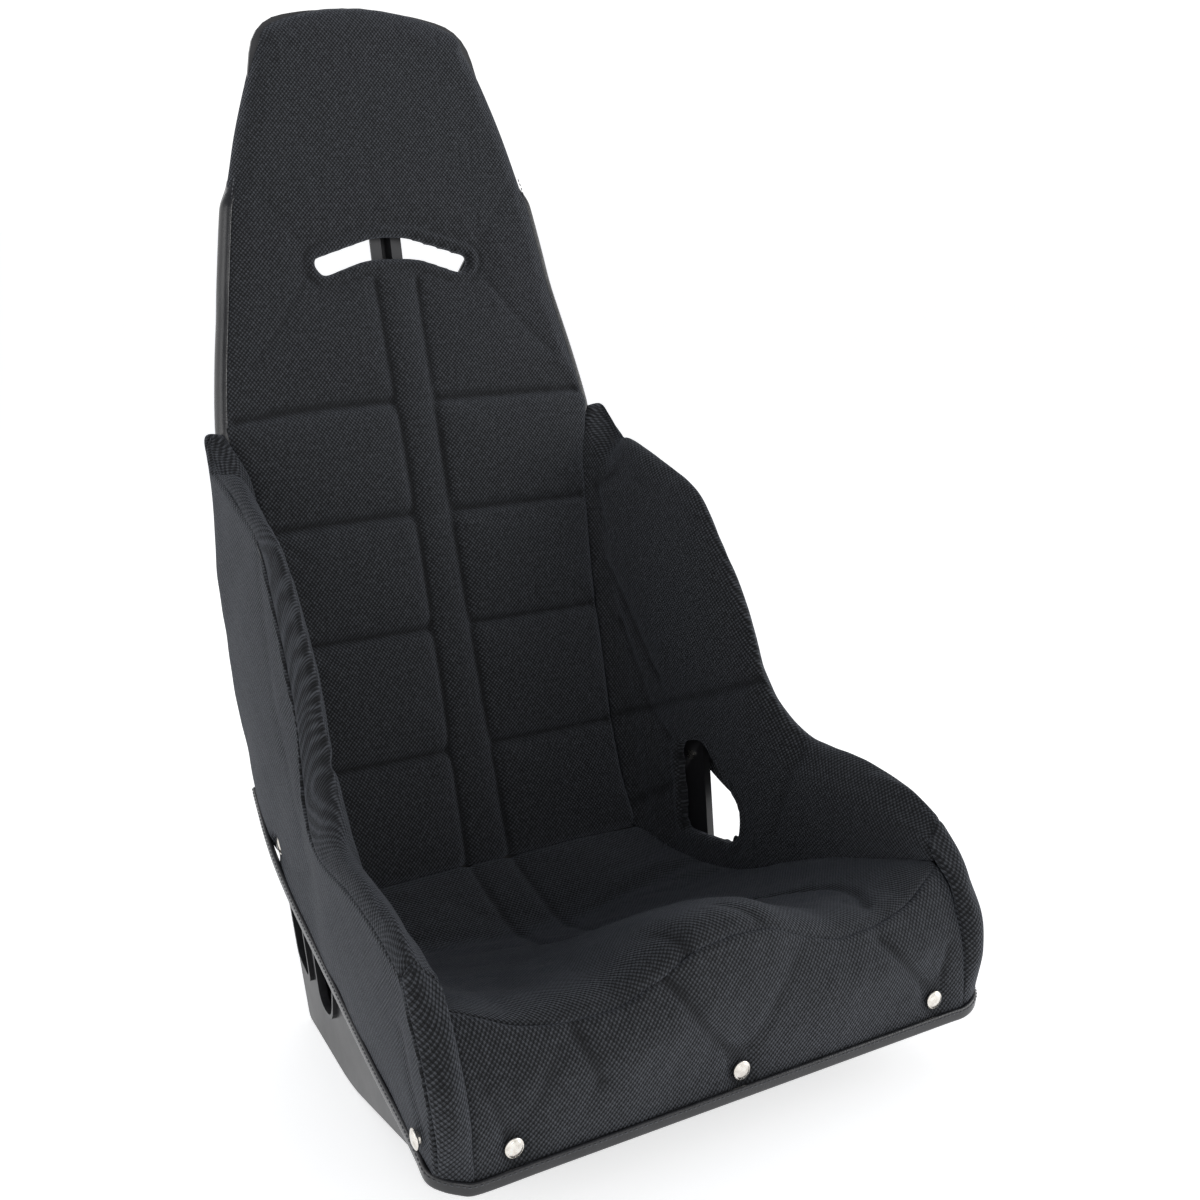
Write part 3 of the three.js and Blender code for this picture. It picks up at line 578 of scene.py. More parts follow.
# ------------------------------------------------------------------ camera
camera = bpy.data.objects.new("camera", bpy.data.cameras.new("camera"))
SCENE.collection.objects.link(camera)
SCENE.camera = camera
camera.data.lens = 48.85
camera.data.sensor_width = 36.0
camera.data.clip_start = 0.05
CAMERA_DISTANCE = 1.2634
azimuth, elevation = math.radians(-32.627), math.radians(14.062)
toward = Vector((math.sin(azimuth) * math.cos(elevation), -math.cos(azimuth) * math.cos(elevation),
                 math.sin(elevation)))
aim = Vector(row([0.0, -105.6, 379.9]))
right = Vector((math.cos(azimuth), math.sin(azimuth), 0))
up = toward.cross(right)
turn = Matrix((right, up, toward)).transposed().to_4x4()
camera.matrix_world = Matrix.Translation(aim + toward * CAMERA_DISTANCE) @ turn

# ------------------------------------------------------------------ back and head cover
SEAM_BACK = [(94, 164), (120, 159), (148, 155), (198, 154), (260, 156), (320, 158), (380, 163),
             (430, 169), (487, 182)]
EDGE_HEAD = [(487, 184), (505, 181.5), (540, 175.5), (590, 165.5), (640, 157), (680, 149.5), (707, 142),
             (740, 132.5), (770, 122), (795, 112), (815, 102)]
HEAD_TOP = [(0.0, 852.5), (0.30, 850), (0.55, 844.5), (0.75, 836.5), (0.9, 826), (1.0, 813)]
COVER_FOOT_Z, SHOULDER_Z = 93.0, 487
BIGHT_S = 99.3
CHANNELS = [BIGHT_S + rise for rise in (103, 215, 320, 423)]
BACK_FOLDS = [([(88, 640), (118, 596), (152, 560)], 1.5, 5.0),
              ([(88, 668), (118, 706), (132, 728)], 1.0, 5.0),
              ([(60, 560), (120, 548), (160, 535)], 0.6, 7.0)]
STRIP_TOP_S = 646
STRIP_HALF = [(90, 22.7), (300, 19.5), (420, 18.5), (650, 21)]


def back_point(x, s, d):
    """x across, s up the slope of the back panel's front face, d in front of it."""
    bend = smooth(BEND_S - 25, BEND_S + 25, s)
    lower = np.stack([x, BACK_FOOT + s * math.sin(TILT) - d * math.cos(TILT),
                      s * math.cos(TILT) + d * math.sin(TILT)], -1)
    over = s - BEND_S
    foot_y = BACK_FOOT + BEND_S * math.sin(TILT)
    foot_z = BEND_S * math.cos(TILT)
    upper = np.stack([x, foot_y + over * math.sin(HEAD_TILT) - d * math.cos(HEAD_TILT),
                      foot_z + over * math.cos(HEAD_TILT) + d * math.sin(HEAD_TILT)], -1)
    return lower + (upper - lower) * bend[..., None]


def s_of_z(z, d=BACK_PAD):
    low = (z - d * math.sin(TILT)) / math.cos(TILT)
    high = BEND_S + (z - 600.0 - d * math.sin(HEAD_TILT)) / math.cos(HEAD_TILT)
    return np.where(low < BEND_S, low, high)


def slot_outline():
    """The shoulder-belt slot, a shallow arch, as x and distance up the slope."""
    end, peak, half, long = 646.5, 664.5, 9.6, 79.0
    corners = [(long, end + half - 1, 8), (16, peak + half, 12), (-16, peak + half, 12),
               (-long, end + half - 1, 8), (8 - long, end - half + 2, 9), (-24, peak - half, 14),
               (24, peak - half, 14), (long - 8, end - half + 2, 9)]
    return rounded(corners, 6)


def back_relief(p):
    x, s = p[..., 0], p[..., 1]
    strip = table(STRIP_HALF, s)
    half = table(SEAM_BACK, s * math.cos(TILT) + 3.5)
    relief = np.zeros(x.shape)
    side = np.clip((np.abs(x) - strip) / np.maximum(half - strip, 1), 0, 1)
    on_panel = smooth(0, 3, np.abs(x) - strip)
    levels = [BIGHT_S] + CHANNELS
    for low, high in zip(levels[:-1], levels[1:]):
        share = np.clip((s - low) / (high - low), 0, 1)
        inside = (s > low) & (s < high)
        crown = np.sqrt(np.clip((1 - (2 * share - 1) ** 4) * (1 - (2 * side - 1) ** 4), 0, 1))
        relief += np.where(inside, 3.8 * crown, 0)
    for level in CHANNELS:
        across = 0.22 + 0.78 * on_panel
        level = level - 7.0 * (x < 0) * (np.abs(x) / 165) ** 2 * smooth(300, 520, level)
        reach = 1 - smooth(half - 6, half + 4, np.abs(x))
        relief -= 6.4 * (0.62 * bell(s - level, 3.4) + 0.4 * bell(s - level, 11.0)) * across * reach
    below_slot = 1 - smooth(STRIP_TOP_S - 16, STRIP_TOP_S, s)
    for sign in (-1, 1):
        dx = x - sign * strip
        relief -= 3.6 * (0.6 * bell(dx, 2.6) + 0.4 * bell(dx, 8.0)) * below_slot
    relief += 1.4 * np.clip(1 - (x / strip) ** 2, 0, 1) * below_slot
    gap = outside(p, slot_outline())
    relief -= 3.8 * round_over(gap, 4.0)
    relief += -1.6 * bell(gap - 11.5, 2.0) + 0.9 * bell(gap - 6.5, 3.0)
    for sign in (-1, 1):
        relief = creased(relief, p, BACK_FOLDS, sign)
    return relief + uneven(p, (0.5, 120, 3), (0.22, 34, 4))


def back_cover():
    uu, vv = np.meshgrid(np.linspace(-1, 1, 121), np.linspace(0, 1, 235), indexing="ij")
    z_top = table(HEAD_TOP, np.abs(uu))
    z = COVER_FOOT_Z + (z_top - COVER_FOOT_Z) * vv
    half = np.where(z < SHOULDER_Z, table(SEAM_BACK, z), table(EDGE_HEAD, z))
    shoulder = smooth(480, 505, z)
    head = smooth(676, 694, z)
    radius = 6 + 5 * shoulder
    drop = 5 + 5 * shoulder + 7 * head
    flat = half - radius
    arc = math.pi / 4 * (radius + drop)
    travel = np.abs(uu) * (flat + arc)
    angle = np.clip((travel - flat) / arc, 0, 1) * math.pi / 2
    x = np.sign(uu) * (np.minimum(travel, flat) + radius * np.sin(angle))
    s = s_of_z(z)
    s_end = s_of_z(z_top)
    top_angle = np.clip((s - (s_end - 12)) / 12, 0, 1) * math.pi / 2
    s = np.where(top_angle > 0, s_end - 12 + 12 * np.sin(top_angle), s)
    foot_angle = np.clip((BIGHT_S + 5 - s) / 10, 0, 1)
    fall = drop * (1 - np.cos(angle)) + 17 * (1 - np.cos(top_angle)) + 7 * foot_angle ** 2
    d = np.maximum(BACK_PAD - fall, -5.0)
    across = np.sign(uu) * travel
    p = np.stack([x, s], -1)
    move, gap = pull_to(p, slot_outline(), 2.2)
    p = p + move
    x, s = p[..., 0], p[..., 1]
    surface = back_point(x, s, d)
    relief = back_relief(p) * (1 - 0.75 * smooth(0.05, 0.6, angle))
    middle = p[:-1, :-1] + p[1:, 1:] + p[1:, :-1] + p[:-1, 1:]
    keep = outside(middle / 4, slot_outline()) > 0
    thick = 11.2 - 6.6 * np.clip(fall / 12, 0, 1)
    uv = np.stack([across + move[..., 0], s], -1)
    levels = np.array([BIGHT_S] + CHANNELS)
    to_channel = np.abs(s[..., None] - levels).min(-1)
    to_strip = np.abs(np.abs(x) - table(STRIP_HALF, s)) + 99 * (s > STRIP_TOP_S)
    tight = ((to_channel < 3.5) & (np.abs(x) > 15)) | (to_strip < 3.0) | (gap < 13)
    cover = pad("back_cover", surface, relief, thick, uv, keep=keep, tight=tight, pressure=2.0, cap=2.2)
    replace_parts(cover, "back_cushion")


POCKET_FOOT_Z, POCKET_DEPTH = 690.0, -6.0
NOTCH_HALF, NOTCH_TOP_Z = 18.5, 793


def head_pocket():
    """The cover's rear sheet over the head, open below and notched for the brace."""
    u = np.concatenate([np.linspace(-1, -0.16, 34), [-0.13, 0.13], np.linspace(0.16, 1, 34)])
    uu, vv = np.meshgrid(u, np.linspace(0, 1, 56), indexing="ij")
    z_top = table(HEAD_TOP, np.abs(uu)) - 2
    z = POCKET_FOOT_Z + (z_top - POCKET_FOOT_Z) * vv
    half = table(EDGE_HEAD, z) - 0.5
    x = uu * half
    notch = np.abs(uu) < 0.14
    x = np.where(notch, np.sign(uu) * NOTCH_HALF, x)
    s = s_of_z(z, POCKET_DEPTH)
    edge = np.minimum((1 - np.abs(uu)) * half, s_of_z(z_top, POCKET_DEPTH) - s)
    surface = back_point(x, s, -9.2 + 6.0 * round_over(edge, 9))
    p = np.stack([x, s], -1)
    relief = uneven(p, (0.5, 90, 8), (0.2, 26, 9)) + 1.2 * bell(s - s[:, :1], 7.0)
    hem_line = s[0, 0] + 12
    relief += groove(p, [(-150, hem_line), (150, hem_line)], 1.3, 1.6)
    keep = ~(((uu[:-1, :-1] > -0.14) & (uu[1:, :-1] < 0.14)) & (z[:-1, :-1] < NOTCH_TOP_Z))
    cover = pad("head_pocket_cover", surface, relief, 5.0, p, flip=True, keep=keep)
    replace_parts(cover, "head_pocket")


back_cover()
head_pocket()


# ------------------------------------------------------------------ cover pieces on both sides
def mirrored(points, side):
    turned = np.asarray(points, float).copy()
    turned[..., 0] *= side
    return turned


def tuck(surface, depth, reach, sides):
    """How far a panel's edges turn down into their seams, on the named sides of its grid."""
    def run(axis):
        step = np.linalg.norm(np.diff(surface, axis=axis), axis=-1)
        zero = np.zeros_like(np.take(step, [0], axis=axis))
        return np.concatenate([zero, np.cumsum(step, axis=axis)], axis=axis)

    down = np.zeros(surface.shape[:2])
    u, v = run(0), run(1)
    away = {"u0": u, "u1": u[-1:] - u, "v0": v, "v1": v[:, -1:] - v}
    for side in sides:
        down = np.maximum(down, depth * round_over(away[side], reach))
    return -down


# Bottom seam, roll crest and outer seam of each station along the wing, from back to front.
WING_STATIONS = [
    ((178, 40, 77), (192, 146, 457), (206, 158, 453)),
    ((180, 25, 77), (198, 98, 442), (210, 104, 436)),
    ((181, 8, 78), (204, 46, 421), (213, 60, 415)),
    ((184, -12, 79), (205, 4, 370), (217, 22, 366)),
    ((187, -32, 83), (206, -31, 314), (221, -16, 307)),
    ((191, -54, 90), (207, -53, 269), (224, -34, 260)),
    ((196, -77, 100), (212, -76, 241), (229, -54, 229)),
    ((202, -112, 116), (220, -106, 223), (236, -90, 213)),
    ((212, -166, 135), (229, -163, 219), (241, -157, 211)),
    ((220, -215, 152), (231, -212, 211), (244, -212, 199)),
    ((222, -258, 165), (233, -246, 195), (245, -243, 186)),
]
FILLET_TOPS = [(184, 200, 486), (200, 202, 488), (203, 191, 474), (205, 177, 461)]
WALL_LINE = -SIDE_PAD - 2.0
LAP_HOLE = rounded([(46, 186, 12), (34, 104, 10), (-37, 108, 16), (-43, 142, 18), (14, 196, 12)], 6)


def back_surface_y(z, d):
    return BACK_FOOT + z * math.tan(TILT) - d / math.cos(TILT)


def fillet_column(angle, top):
    low = 96.0 - 10.0 * math.sin(angle)
    z = low + (top[2] - low) * np.array([0, 0.1, 0.22, 0.36, 0.5, 0.64, 0.78, 0.9])
    back = back_surface_y(z, BACK_PAD)
    inner = wall_x(back, z, WALL_LINE)
    radius = np.maximum(inner - table(SEAM_BACK, z), 14) * (1 - 0.45 * smooth(430, 487, z))
    x = inner - radius * (1 - math.sin(angle))
    y = back - 1.15 * radius * (1 - math.cos(angle))
    return np.concatenate([np.stack([x, y, z], 1), [top]])


def wall_column(bottom, crest, outer):
    bottom, crest, outer = (np.array(p, float) for p in (bottom, crest, outer))
    toward = (bottom - crest)[1:] / np.linalg.norm((bottom - crest)[1:])
    height = np.linalg.norm((bottom - crest)[1:])
    drop = min(15.0, 0.3 * height)
    top = crest[1:] + toward * drop
    share = np.array([0, 0.12, 0.28, 0.46, 0.64, 0.82, 1.0])
    yz = bottom[1:] + (top - bottom[1:]) * share[:, None]
    inner = wall_x(yz[:, 0], yz[:, 1], WALL_LINE)
    inner[-1] = 0.6 * inner[-1] + 0.4 * crest[0]
    x = inner + (bottom[0] - inner[0]) * (1 - share) ** 2 - 2.0 * np.sin(np.pi * share)
    middle = (crest + outer) / 2 + np.array([0, 0, 0.25 * np.linalg.norm(outer - crest)])
    return np.concatenate([np.column_stack([x, yz]), [crest, middle, outer]])


def wing_grid(across=112, up=96):
    columns = []
    for angle, top in zip(np.radians([0, 30, 60, 90]), FILLET_TOPS):
        columns.append(even(fillet_column(angle, top), up))
    columns += [even(wall_column(*station), up) for station in WING_STATIONS]
    columns = np.array(columns)
    spacing = np.linalg.norm(np.diff(columns, axis=0), axis=-1).mean(1)
    run = np.concatenate([[0], np.cumsum(spacing)])
    at = np.interp(np.linspace(0, run[-1], across), run, np.arange(len(columns)))
    return catmull(columns, at)


WING = wing_grid()
OUTER_STATIONS = FILLET_TOPS[1:] + [station[2] for station in WING_STATIONS]


VALLEY = [(141, 188), (51, 225), (-50, 267)]
WING_FOLDS = [(VALLEY, 5.2, 3.2), ([(163, 354), (118, 300), (72, 242)], 3.4, 4.2),
              ([(127, 287), (104, 250), (87, 217)], 3.0, 4.0), ([(86, 208), (55, 189)], 3.4, 3.6),
              ([(103, 101), (80, 122), (53, 141)], 3.4, 3.6), ([(172, 412), (149, 429)], 3.4, 3.2),
              ([(-104, 222), (-97, 180), (-87, 137)], 2.2, 4.2),
              ([(-60, 200), (-88, 178), (-120, 168)], 1.0, 6.0)]
HOLE_TOP = 235


def wing_relief(surface, side):
    p = surface[..., 1:]
    relief = tuck(surface, 4.2, 7.0, ("u0",)) + tuck(surface, 1.2, 4.0, ("v0",))
    relief += tuck(surface, 2.0, 3.6, ("v1",)) + tuck(surface, 1.6, 4.0, ("u1",))
    wall = 1 - smooth(-14, -4, surface[..., 0] - wall_x(p[..., 0], p[..., 1]))
    relief += creased(0, p, WING_FOLDS) * wall
    relief += 2.6 * mound(p[..., 0] - 20, 70, p[..., 1] - 320, 80) * wall
    gap = outside(p, LAP_HOLE)
    on_wall = surface[..., 2] < HOLE_TOP
    relief -= np.where(on_wall, 3.6 * round_over(gap, 4.0), 0)
    relief -= np.where(on_wall, 1.3 * bell(gap - 9.5, 2.0), 0)
    return relief + uneven(p, (0.8, 95, 11 if side > 0 else 12), (0.28, 30, 13))


def wing_cover(name, side):
    surface = WING.copy()
    p = surface[..., 1:]
    move, gap = pull_to(p, LAP_HOLE, 2.4)
    move *= (surface[..., 2] < HOLE_TOP)[..., None]
    surface[..., 1:] += move
    surface[..., 0] += -FLARE * move[..., 0] + LEAN * move[..., 1]
    relief = wing_relief(surface, side)
    middle = (surface[:-1, :-1] + surface[1:, 1:] + surface[1:, :-1] + surface[:-1, 1:])[..., 1:] / 4
    keep = ~((outside(middle, LAP_HOLE) < 0) & (middle[..., 1] < HOLE_TOP))
    inner_line = wall_x(surface[..., 1], surface[..., 2], WALL_LINE)
    depth = surface[..., 0] - inner_line
    travel = np.linalg.norm(np.diff(surface, axis=1), axis=-1)
    climb = np.diff(surface[..., 2], axis=1)
    step = np.where(climb > 0.8 * travel, climb, travel)
    up = surface[:, :1, 2] + np.concatenate([np.zeros((len(step), 1)), np.cumsum(step, axis=1)], 1)
    uv = np.stack([surface[..., 1] + np.maximum(-depth, 0), up], -1)
    over = smooth(2, 14, depth)
    corner = 1 - smooth(0, 30, surface[..., 0] - inner_line + 30)
    thick = 12.0 - 7.5 * over - 5.0 * corner
    tight = (gap < 12) | (groove(surface[..., 1:], VALLEY, 1, 4.0) < -0.4)
    cover = pad(name, mirrored(surface, side), relief, thick, uv, flip=side < 0, keep=keep,
                tight=tight, pressure=1.6, cap=2.4)
    return cover


FRONT_SEAM = [(245, -243, 186), (248, -262, 164), (249, -281, 134), (248, -289, 108), (245.5, -291, 82),
              (243.5, -287, 56)]
FLAP_FOOT = [(-288, 56, 9), (-240, 70, 10), (-180, 85, 12), (-75, 116, 15), (7, 143, 18), (60, 169, 19),
             (118, 194, 14)]
# Where on the foot each point of the seam above stands, from the front corner to the rear.
FLAP_RUNS = [-288, -280, -262, -240, -206, -160, -112, -88, -66, -40, -5, 35, 66, 94, 103, 110, 118]


def flap_grid(across=110, up=84):
    """Depth off the shell wall over a net of straight runs, with a soft bulge between the edges."""
    foot = catmull(np.array(FLAP_FOOT, float), np.linspace(0, len(FLAP_FOOT) - 1, 200))
    stations = OUTER_STATIONS[::-1]
    top = np.array(FRONT_SEAM[3::-1] + stations[1:], float)
    top = np.column_stack([top[:, 1:], top[:, 0] - wall_x(top[:, 1], top[:, 2])])
    at = np.linspace(0, len(top) - 1, 300)
    line = catmull(top, at)
    run = arc_length(line)
    at = np.interp(np.linspace(0, run[-1], across), run, at)
    line = catmull(top, at)
    foot_y = table(list(enumerate(FLAP_RUNS)), at)
    base = np.column_stack([foot_y, np.interp(foot_y, foot[:, 0], foot[:, 1]),
                            np.interp(foot_y, foot[:, 0], foot[:, 2])])
    v = np.linspace(0, 1, up)[None]
    net = base[:, None] * (1 - v[..., None]) + line[:, None] * v[..., None]
    height = np.linalg.norm((line - base)[:, :2], axis=1)[:, None]
    room = np.clip(height / 120.0, 0, 1) * smooth(0, 3, at)[:, None]
    rear = smooth(8, 14, at)[:, None]
    net[..., 2] += room * (3.5 + 4.0 * rear) * np.sin(np.pi * v)
    return net


def cap_centre(name):
    low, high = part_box(name)
    return (np.array(low) + np.array(high)) * 500 - [0, SHIFT, 0]


FLAP_FOLDS = [([(60, 410), (20, 300), (-40, 215)], 1.0, 6.0),
              ([(-245, 150), (-262, 118), (-276, 92)], 1.6, 5.0),
              ([(-60, 190), (-20, 172), (30, 168)], 1.2, 6.0)]


def flap_cover(name, side):
    flat = flap_grid()
    for place in ("front", "rear"):
        x, y, z = cap_centre(f"snap_cap_side_{place}_{'left' if side > 0 else 'right'}")
        seat_depth = abs(x) - wall_x(y, z) - 2.4
        pull = 0.85 * np.exp(-(np.hypot(flat[..., 0] - y, flat[..., 1] - z) / 10.0) ** 4)
        flat[..., 2] += pull * (seat_depth - flat[..., 2])
    y, z, depth = flat[..., 0], flat[..., 1], flat[..., 2]
    surface = np.stack([wall_x(y, z, depth), y, z], -1)
    p = flat[..., :2]
    relief = tuck(surface, 2.0, 3.6, ("v1", "u0")) + tuck(surface, 5.0, 7.0, ("u1",))
    relief = creased(relief + uneven(p, (1.0, 120, 21), (0.35, 40, 22)), p, FLAP_FOLDS)
    thick = np.clip(0.55 * depth, 2.5, 7.0)
    cover = pad(name, mirrored(surface, side), relief, thick, p, flip=side < 0, pressure=1.0, cap=1.5)
    return cover


CORNER_SEAM = [(222, -258, 165), (221, -275, 150), (220, -287, 128), (220, -294, 108), (220, -298, 75),
               (219, -298, 50)]


def corner_cover(name, side, across=18, down=60):
    inner = even(CORNER_SEAM, down)
    outer = even(FRONT_SEAM, down)
    share = np.linspace(0, 1, across)[:, None, None]
    surface = inner[None] * (1 - share) + outer[None] * share
    crown = np.sin(np.pi * share[..., 0]) * np.ones((1, down))
    lower = smooth(0, 0.25, np.linspace(0, 1, down))[None]
    upper = bell(surface[..., 2] - 140, 32)
    foot = 1 - 0.6 * smooth(100, 60, surface[..., 2])
    surface[..., 1] -= crown * (7.5 + 5.0 * upper) * lower * foot
    start = even(WING[-1], across)
    fade = (1 - smooth(0, 0.34, np.linspace(0, 1, down)))[None, :, None]
    surface += fade * (start[:, None] - surface[:, :1])
    p = np.stack([surface[..., 0], surface[..., 2]], -1)
    relief = tuck(surface, 2.0, 3.6, ("u0", "u1")) + tuck(surface, 1.4, 4.0, ("v0",))
    relief += uneven(p, (0.4, 40, 31)) + groove(p, [(238, 150), (232, 110), (236, 70)], 1.0, 5.0)
    cover = pad(name, mirrored(surface, side), relief, 5.0, p, flip=side > 0)
    return cover


# ------------------------------------------------------------------ seat and apron
SEAT_CENTRE = [(0, 82, 98.5), (0, 56, 89), (0, 30, 79), (0, -5, 67.5), (0, -38, 72), (0, -70, 83),
               (0, -105, 99), (0, -145, 124), (0, -183, 148), (0, -220, 168), (0, -250, 181),
               (0, -268, 183), (0, -280, 179), (0, -287, 171)]
SEAT_SIDE = [(169, 84, 96), (179, 62, 84), (186, 38, 80), (190, 8, 81), (194, -25, 85), (200, -55, 94),
             (207, -92, 111), (213, -130, 127), (219, -167, 139), (223, -200, 149), (225, -226, 157),
             (225, -243, 162), (224, -252, 165), (222, -258, 165)]
LIP = [(0, 0), (30, -3), (64, -17), (104, -29), (136, -28), (170, -22), (200, -9), (222, 0)]
# Where the front press studs pull the apron in: x and height.
SNAPS_FRONT = [(-189.5, 71), (0, 68), (189.5, 71)]


def seat_grid(across=104, along=100):
    """The seat's top as points, and how far along the middle line each row of them lies."""
    run = np.linspace(0, len(SEAT_CENTRE) - 1, 400)
    middle = catmull(SEAT_CENTRE, run)
    length = arc_length(middle)
    at = np.interp(np.linspace(0, length[-1], along), length, run)
    mid = catmull(SEAT_CENTRE, at)
    edge = catmull(SEAT_SIDE, at)
    a = np.linspace(-1, 1, across)[:, None]
    share = np.abs(a)
    x = a * edge[None, :, 0]
    y = mid[None, :, 1] + (edge[None, :, 1] - mid[None, :, 1]) * share ** 4
    z = mid[None, :, 2] + (edge[None, :, 2] - mid[None, :, 2]) * share ** 2.6
    forward = smooth(60, 262, -y)
    dip = table(LIP, np.abs(x) * 222.0 / edge[None, :, 0])
    z = z + dip * forward
    return np.stack([x, y, z], -1), np.linspace(0, length[-1], along)


SEAT, SEAT_ARC = seat_grid()


SEAT_FOLDS = [([(-27, -62), (-14, -84), (12, -100), (44, -118), (60, -150)], 4.6, 4.2),
              ([(-49, -254), (-44, -272), (-42, -287)], 3.6, 3.6),
              ([(120, -150), (158, -196), (160, -232), (146, -262)], 5.0, 4.2),
              ([(112, -120), (96, -160), (84, -196)], 3.0, 5.0),
              ([(3, -255), (14, -268), (24, -280)], 2.8, 3.2),
              ([(-150, 60), (-120, 20), (-100, -20)], 1.0, 8.0),
              ([(-90, -120), (-130, -170), (-150, -220)], 1.2, 8.0)]


def seat_relief(surface):
    p = surface[..., :2]
    x, y = p[..., 0], p[..., 1]
    relief = tuck(surface, 1.0, 4.0, ("u0", "u1")) + tuck(surface, 4.0, 6.0, ("v0",))
    relief += tuck(surface, 1.6, 4.0, ("v1",))
    for sign in (-1, 1):
        relief = creased(relief, p, [([(22, 84), (22, 20), (23, -40), (27, -62)], 3.4, 2.6)], sign)
    relief = creased(relief, p, SEAT_FOLDS)
    relief += 1.5 * mound(np.abs(x) - 95, 55, y - 15, 50)
    return relief + uneven(p, (0.9, 110, 41), (0.3, 34, 42))


def seat_cover():
    p = SEAT[..., :2]
    uv = np.stack([SEAT[..., 0], np.broadcast_to(SEAT_ARC, p.shape[:2])], -1)
    strip = np.abs(np.abs(p[..., 0]) - 22.5)
    tight = (strip < 3) & (p[..., 1] > -62)
    cover = pad("seat_cover", SEAT, seat_relief(SEAT), 9.0, uv, flip=True, tight=tight, pressure=1.4, cap=2.4)
    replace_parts(cover, "seat_cushion")


APRON_FOOT_Z, APRON_FRONT_Y = 50.0, -297.0


def apron_grid(across=110, down=44):
    lip = even(SEAT[:, -1], across)
    share = np.linspace(0, 1, down)[None, :]
    x = lip[:, :1] * (1.012 - 0.01 * share)
    z = lip[:, 2:] + (APRON_FOOT_Z - lip[:, 2:]) * share
    seam = even(CORNER_SEAM, 60)
    fall = np.interp(-z, -seam[:, 2], seam[:, 1])
    top = lip[:, 1:2]
    side = smooth(150, 222, np.abs(x))
    face = top + (APRON_FRONT_Y - top) * np.sin(np.clip(share / 0.42, 0, 1) * math.pi / 2)
    y = face * (1 - side) + fall * side
    return np.stack([x, y, z], -1)


APRON_FOLDS = [([(-74, 168), (-50, 138), (-30, 108), (-6, 82)], 3.6, 5.0),
               ([(70, 158), (44, 130), (22, 100), (6, 82)], 1.6, 6.0),
               ([(-136, 138), (-128, 118), (-122, 98)], 3.0, 4.4),
               ([(138, 132), (160, 108), (182, 84)], 3.8, 4.4),
               ([(206, 110), (200, 92), (194, 78)], 3.4, 3.6),
               ([(-206, 116), (-200, 96), (-194, 80)], 2.0, 4.5),
               ([(-150, 128), (-168, 104), (-184, 84)], 1.4, 5.0)]


def apron_cover():
    surface = apron_grid()
    p = surface[..., [0, 2]]
    x, z = p[..., 0], p[..., 1]
    relief = tuck(surface, 1.6, 4.0, ("u0", "u1")) + tuck(surface, 1.6, 4.0, ("v0",))
    for snap_x, snap_z in SNAPS_FRONT:
        relief -= 3.0 * bell(np.hypot(x - snap_x, z - snap_z), 12.0)
        relief -= 1.4 * bell(x - snap_x, 9.0) * smooth(150, 80, z)
    relief += 2.6 * mound(np.abs(x) - 95, 45, z - 100, 32)
    relief = creased(relief, p, APRON_FOLDS) + uneven(p, (0.9, 90, 51), (0.3, 30, 52))
    cover = pad("front_apron_cover", surface, relief, 4.2, p, flip=True, pressure=1.0, cap=1.5)
    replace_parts(cover, "front_apron")


seat_cover()
apron_cover()
for side_name, side in (("left", 1), ("right", -1)):
    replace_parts(wing_cover(f"wing_cover_{side_name}", side), f"side_cushion_{side_name}")
    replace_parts(flap_cover(f"flap_cover_{side_name}", side), f"outer_flap_{side_name}")
    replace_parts(corner_cover(f"corner_cover_{side_name}", side), f"front_corner_{side_name}")


# ------------------------------------------------------------------ bindings and stitching
def band_profile(half_width, thickness, steps=6):
    """A flat band with fully rounded edges: (across, out) pairs."""
    radius = thickness / 2
    points = []
    for centre, start in ((half_width - radius, -0.5), (radius - half_width, 0.5)):
        for k in range(steps):
            angle = math.pi * (start + k / (steps - 1))
            points.append((centre + radius * math.cos(angle), radius * math.sin(angle)))
    return np.array(points)


HEM_FRONT_Y, HEM_FRONT_Z, HEM_CORNER_Z, HEM_CORNER_RADIUS = -300.0, 52.6, 60.5, 28
HEM_CORNER = (219, -272)


def hem_path():
    """The lower edge of the cover: from the left flap's rear, round the front, to the right's."""
    foot = catmull(np.array(FLAP_FOOT, float), np.linspace(0, len(FLAP_FOOT) - 1.0, 60))[::-1]
    foot = foot[foot[:, 0] > -266]
    left = np.column_stack([wall_x(foot[:, 0], foot[:, 1], foot[:, 2] + 0.6), foot[:, 0], foot[:, 1] + 0.5])
    angle = np.linspace(0, math.pi / 2, 12)
    corner = np.column_stack([HEM_CORNER[0] + HEM_CORNER_RADIUS * np.cos(angle),
                              HEM_CORNER[1] - HEM_CORNER_RADIUS * np.sin(angle),
                              np.linspace(HEM_CORNER_Z, HEM_FRONT_Z, 12)])
    left = np.concatenate([left, corner])
    front = np.column_stack([np.linspace(204, -204, 60), np.full(60, HEM_FRONT_Y), np.full(60, HEM_FRONT_Z)])
    return even(np.concatenate([left[::3], front[::6], mirrored(left, -1)[::-1][::3]]), 420)


def outward(path):
    """The level direction away from the seat's middle at each point of a path."""
    tangent = np.gradient(path, axis=0)
    tangent[:, 2] = 0
    tangent /= np.linalg.norm(tangent, axis=1, keepdims=True)
    out = np.column_stack([-tangent[:, 1], tangent[:, 0], np.zeros(len(path))])
    return out * np.sign((out[:, :2] * (path[:, :2] - [0, -60])).sum(1, keepdims=True))


def hem_binding():
    path = hem_path()
    out = outward(path)
    band = sweep("hem_binding_band", path, band_profile(5.1, 4.4), out, VINYL)
    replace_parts(band, "hem_binding")
    stitches("hem_stitches", path + out * 2.2 + [0, 0, 2.6], out)


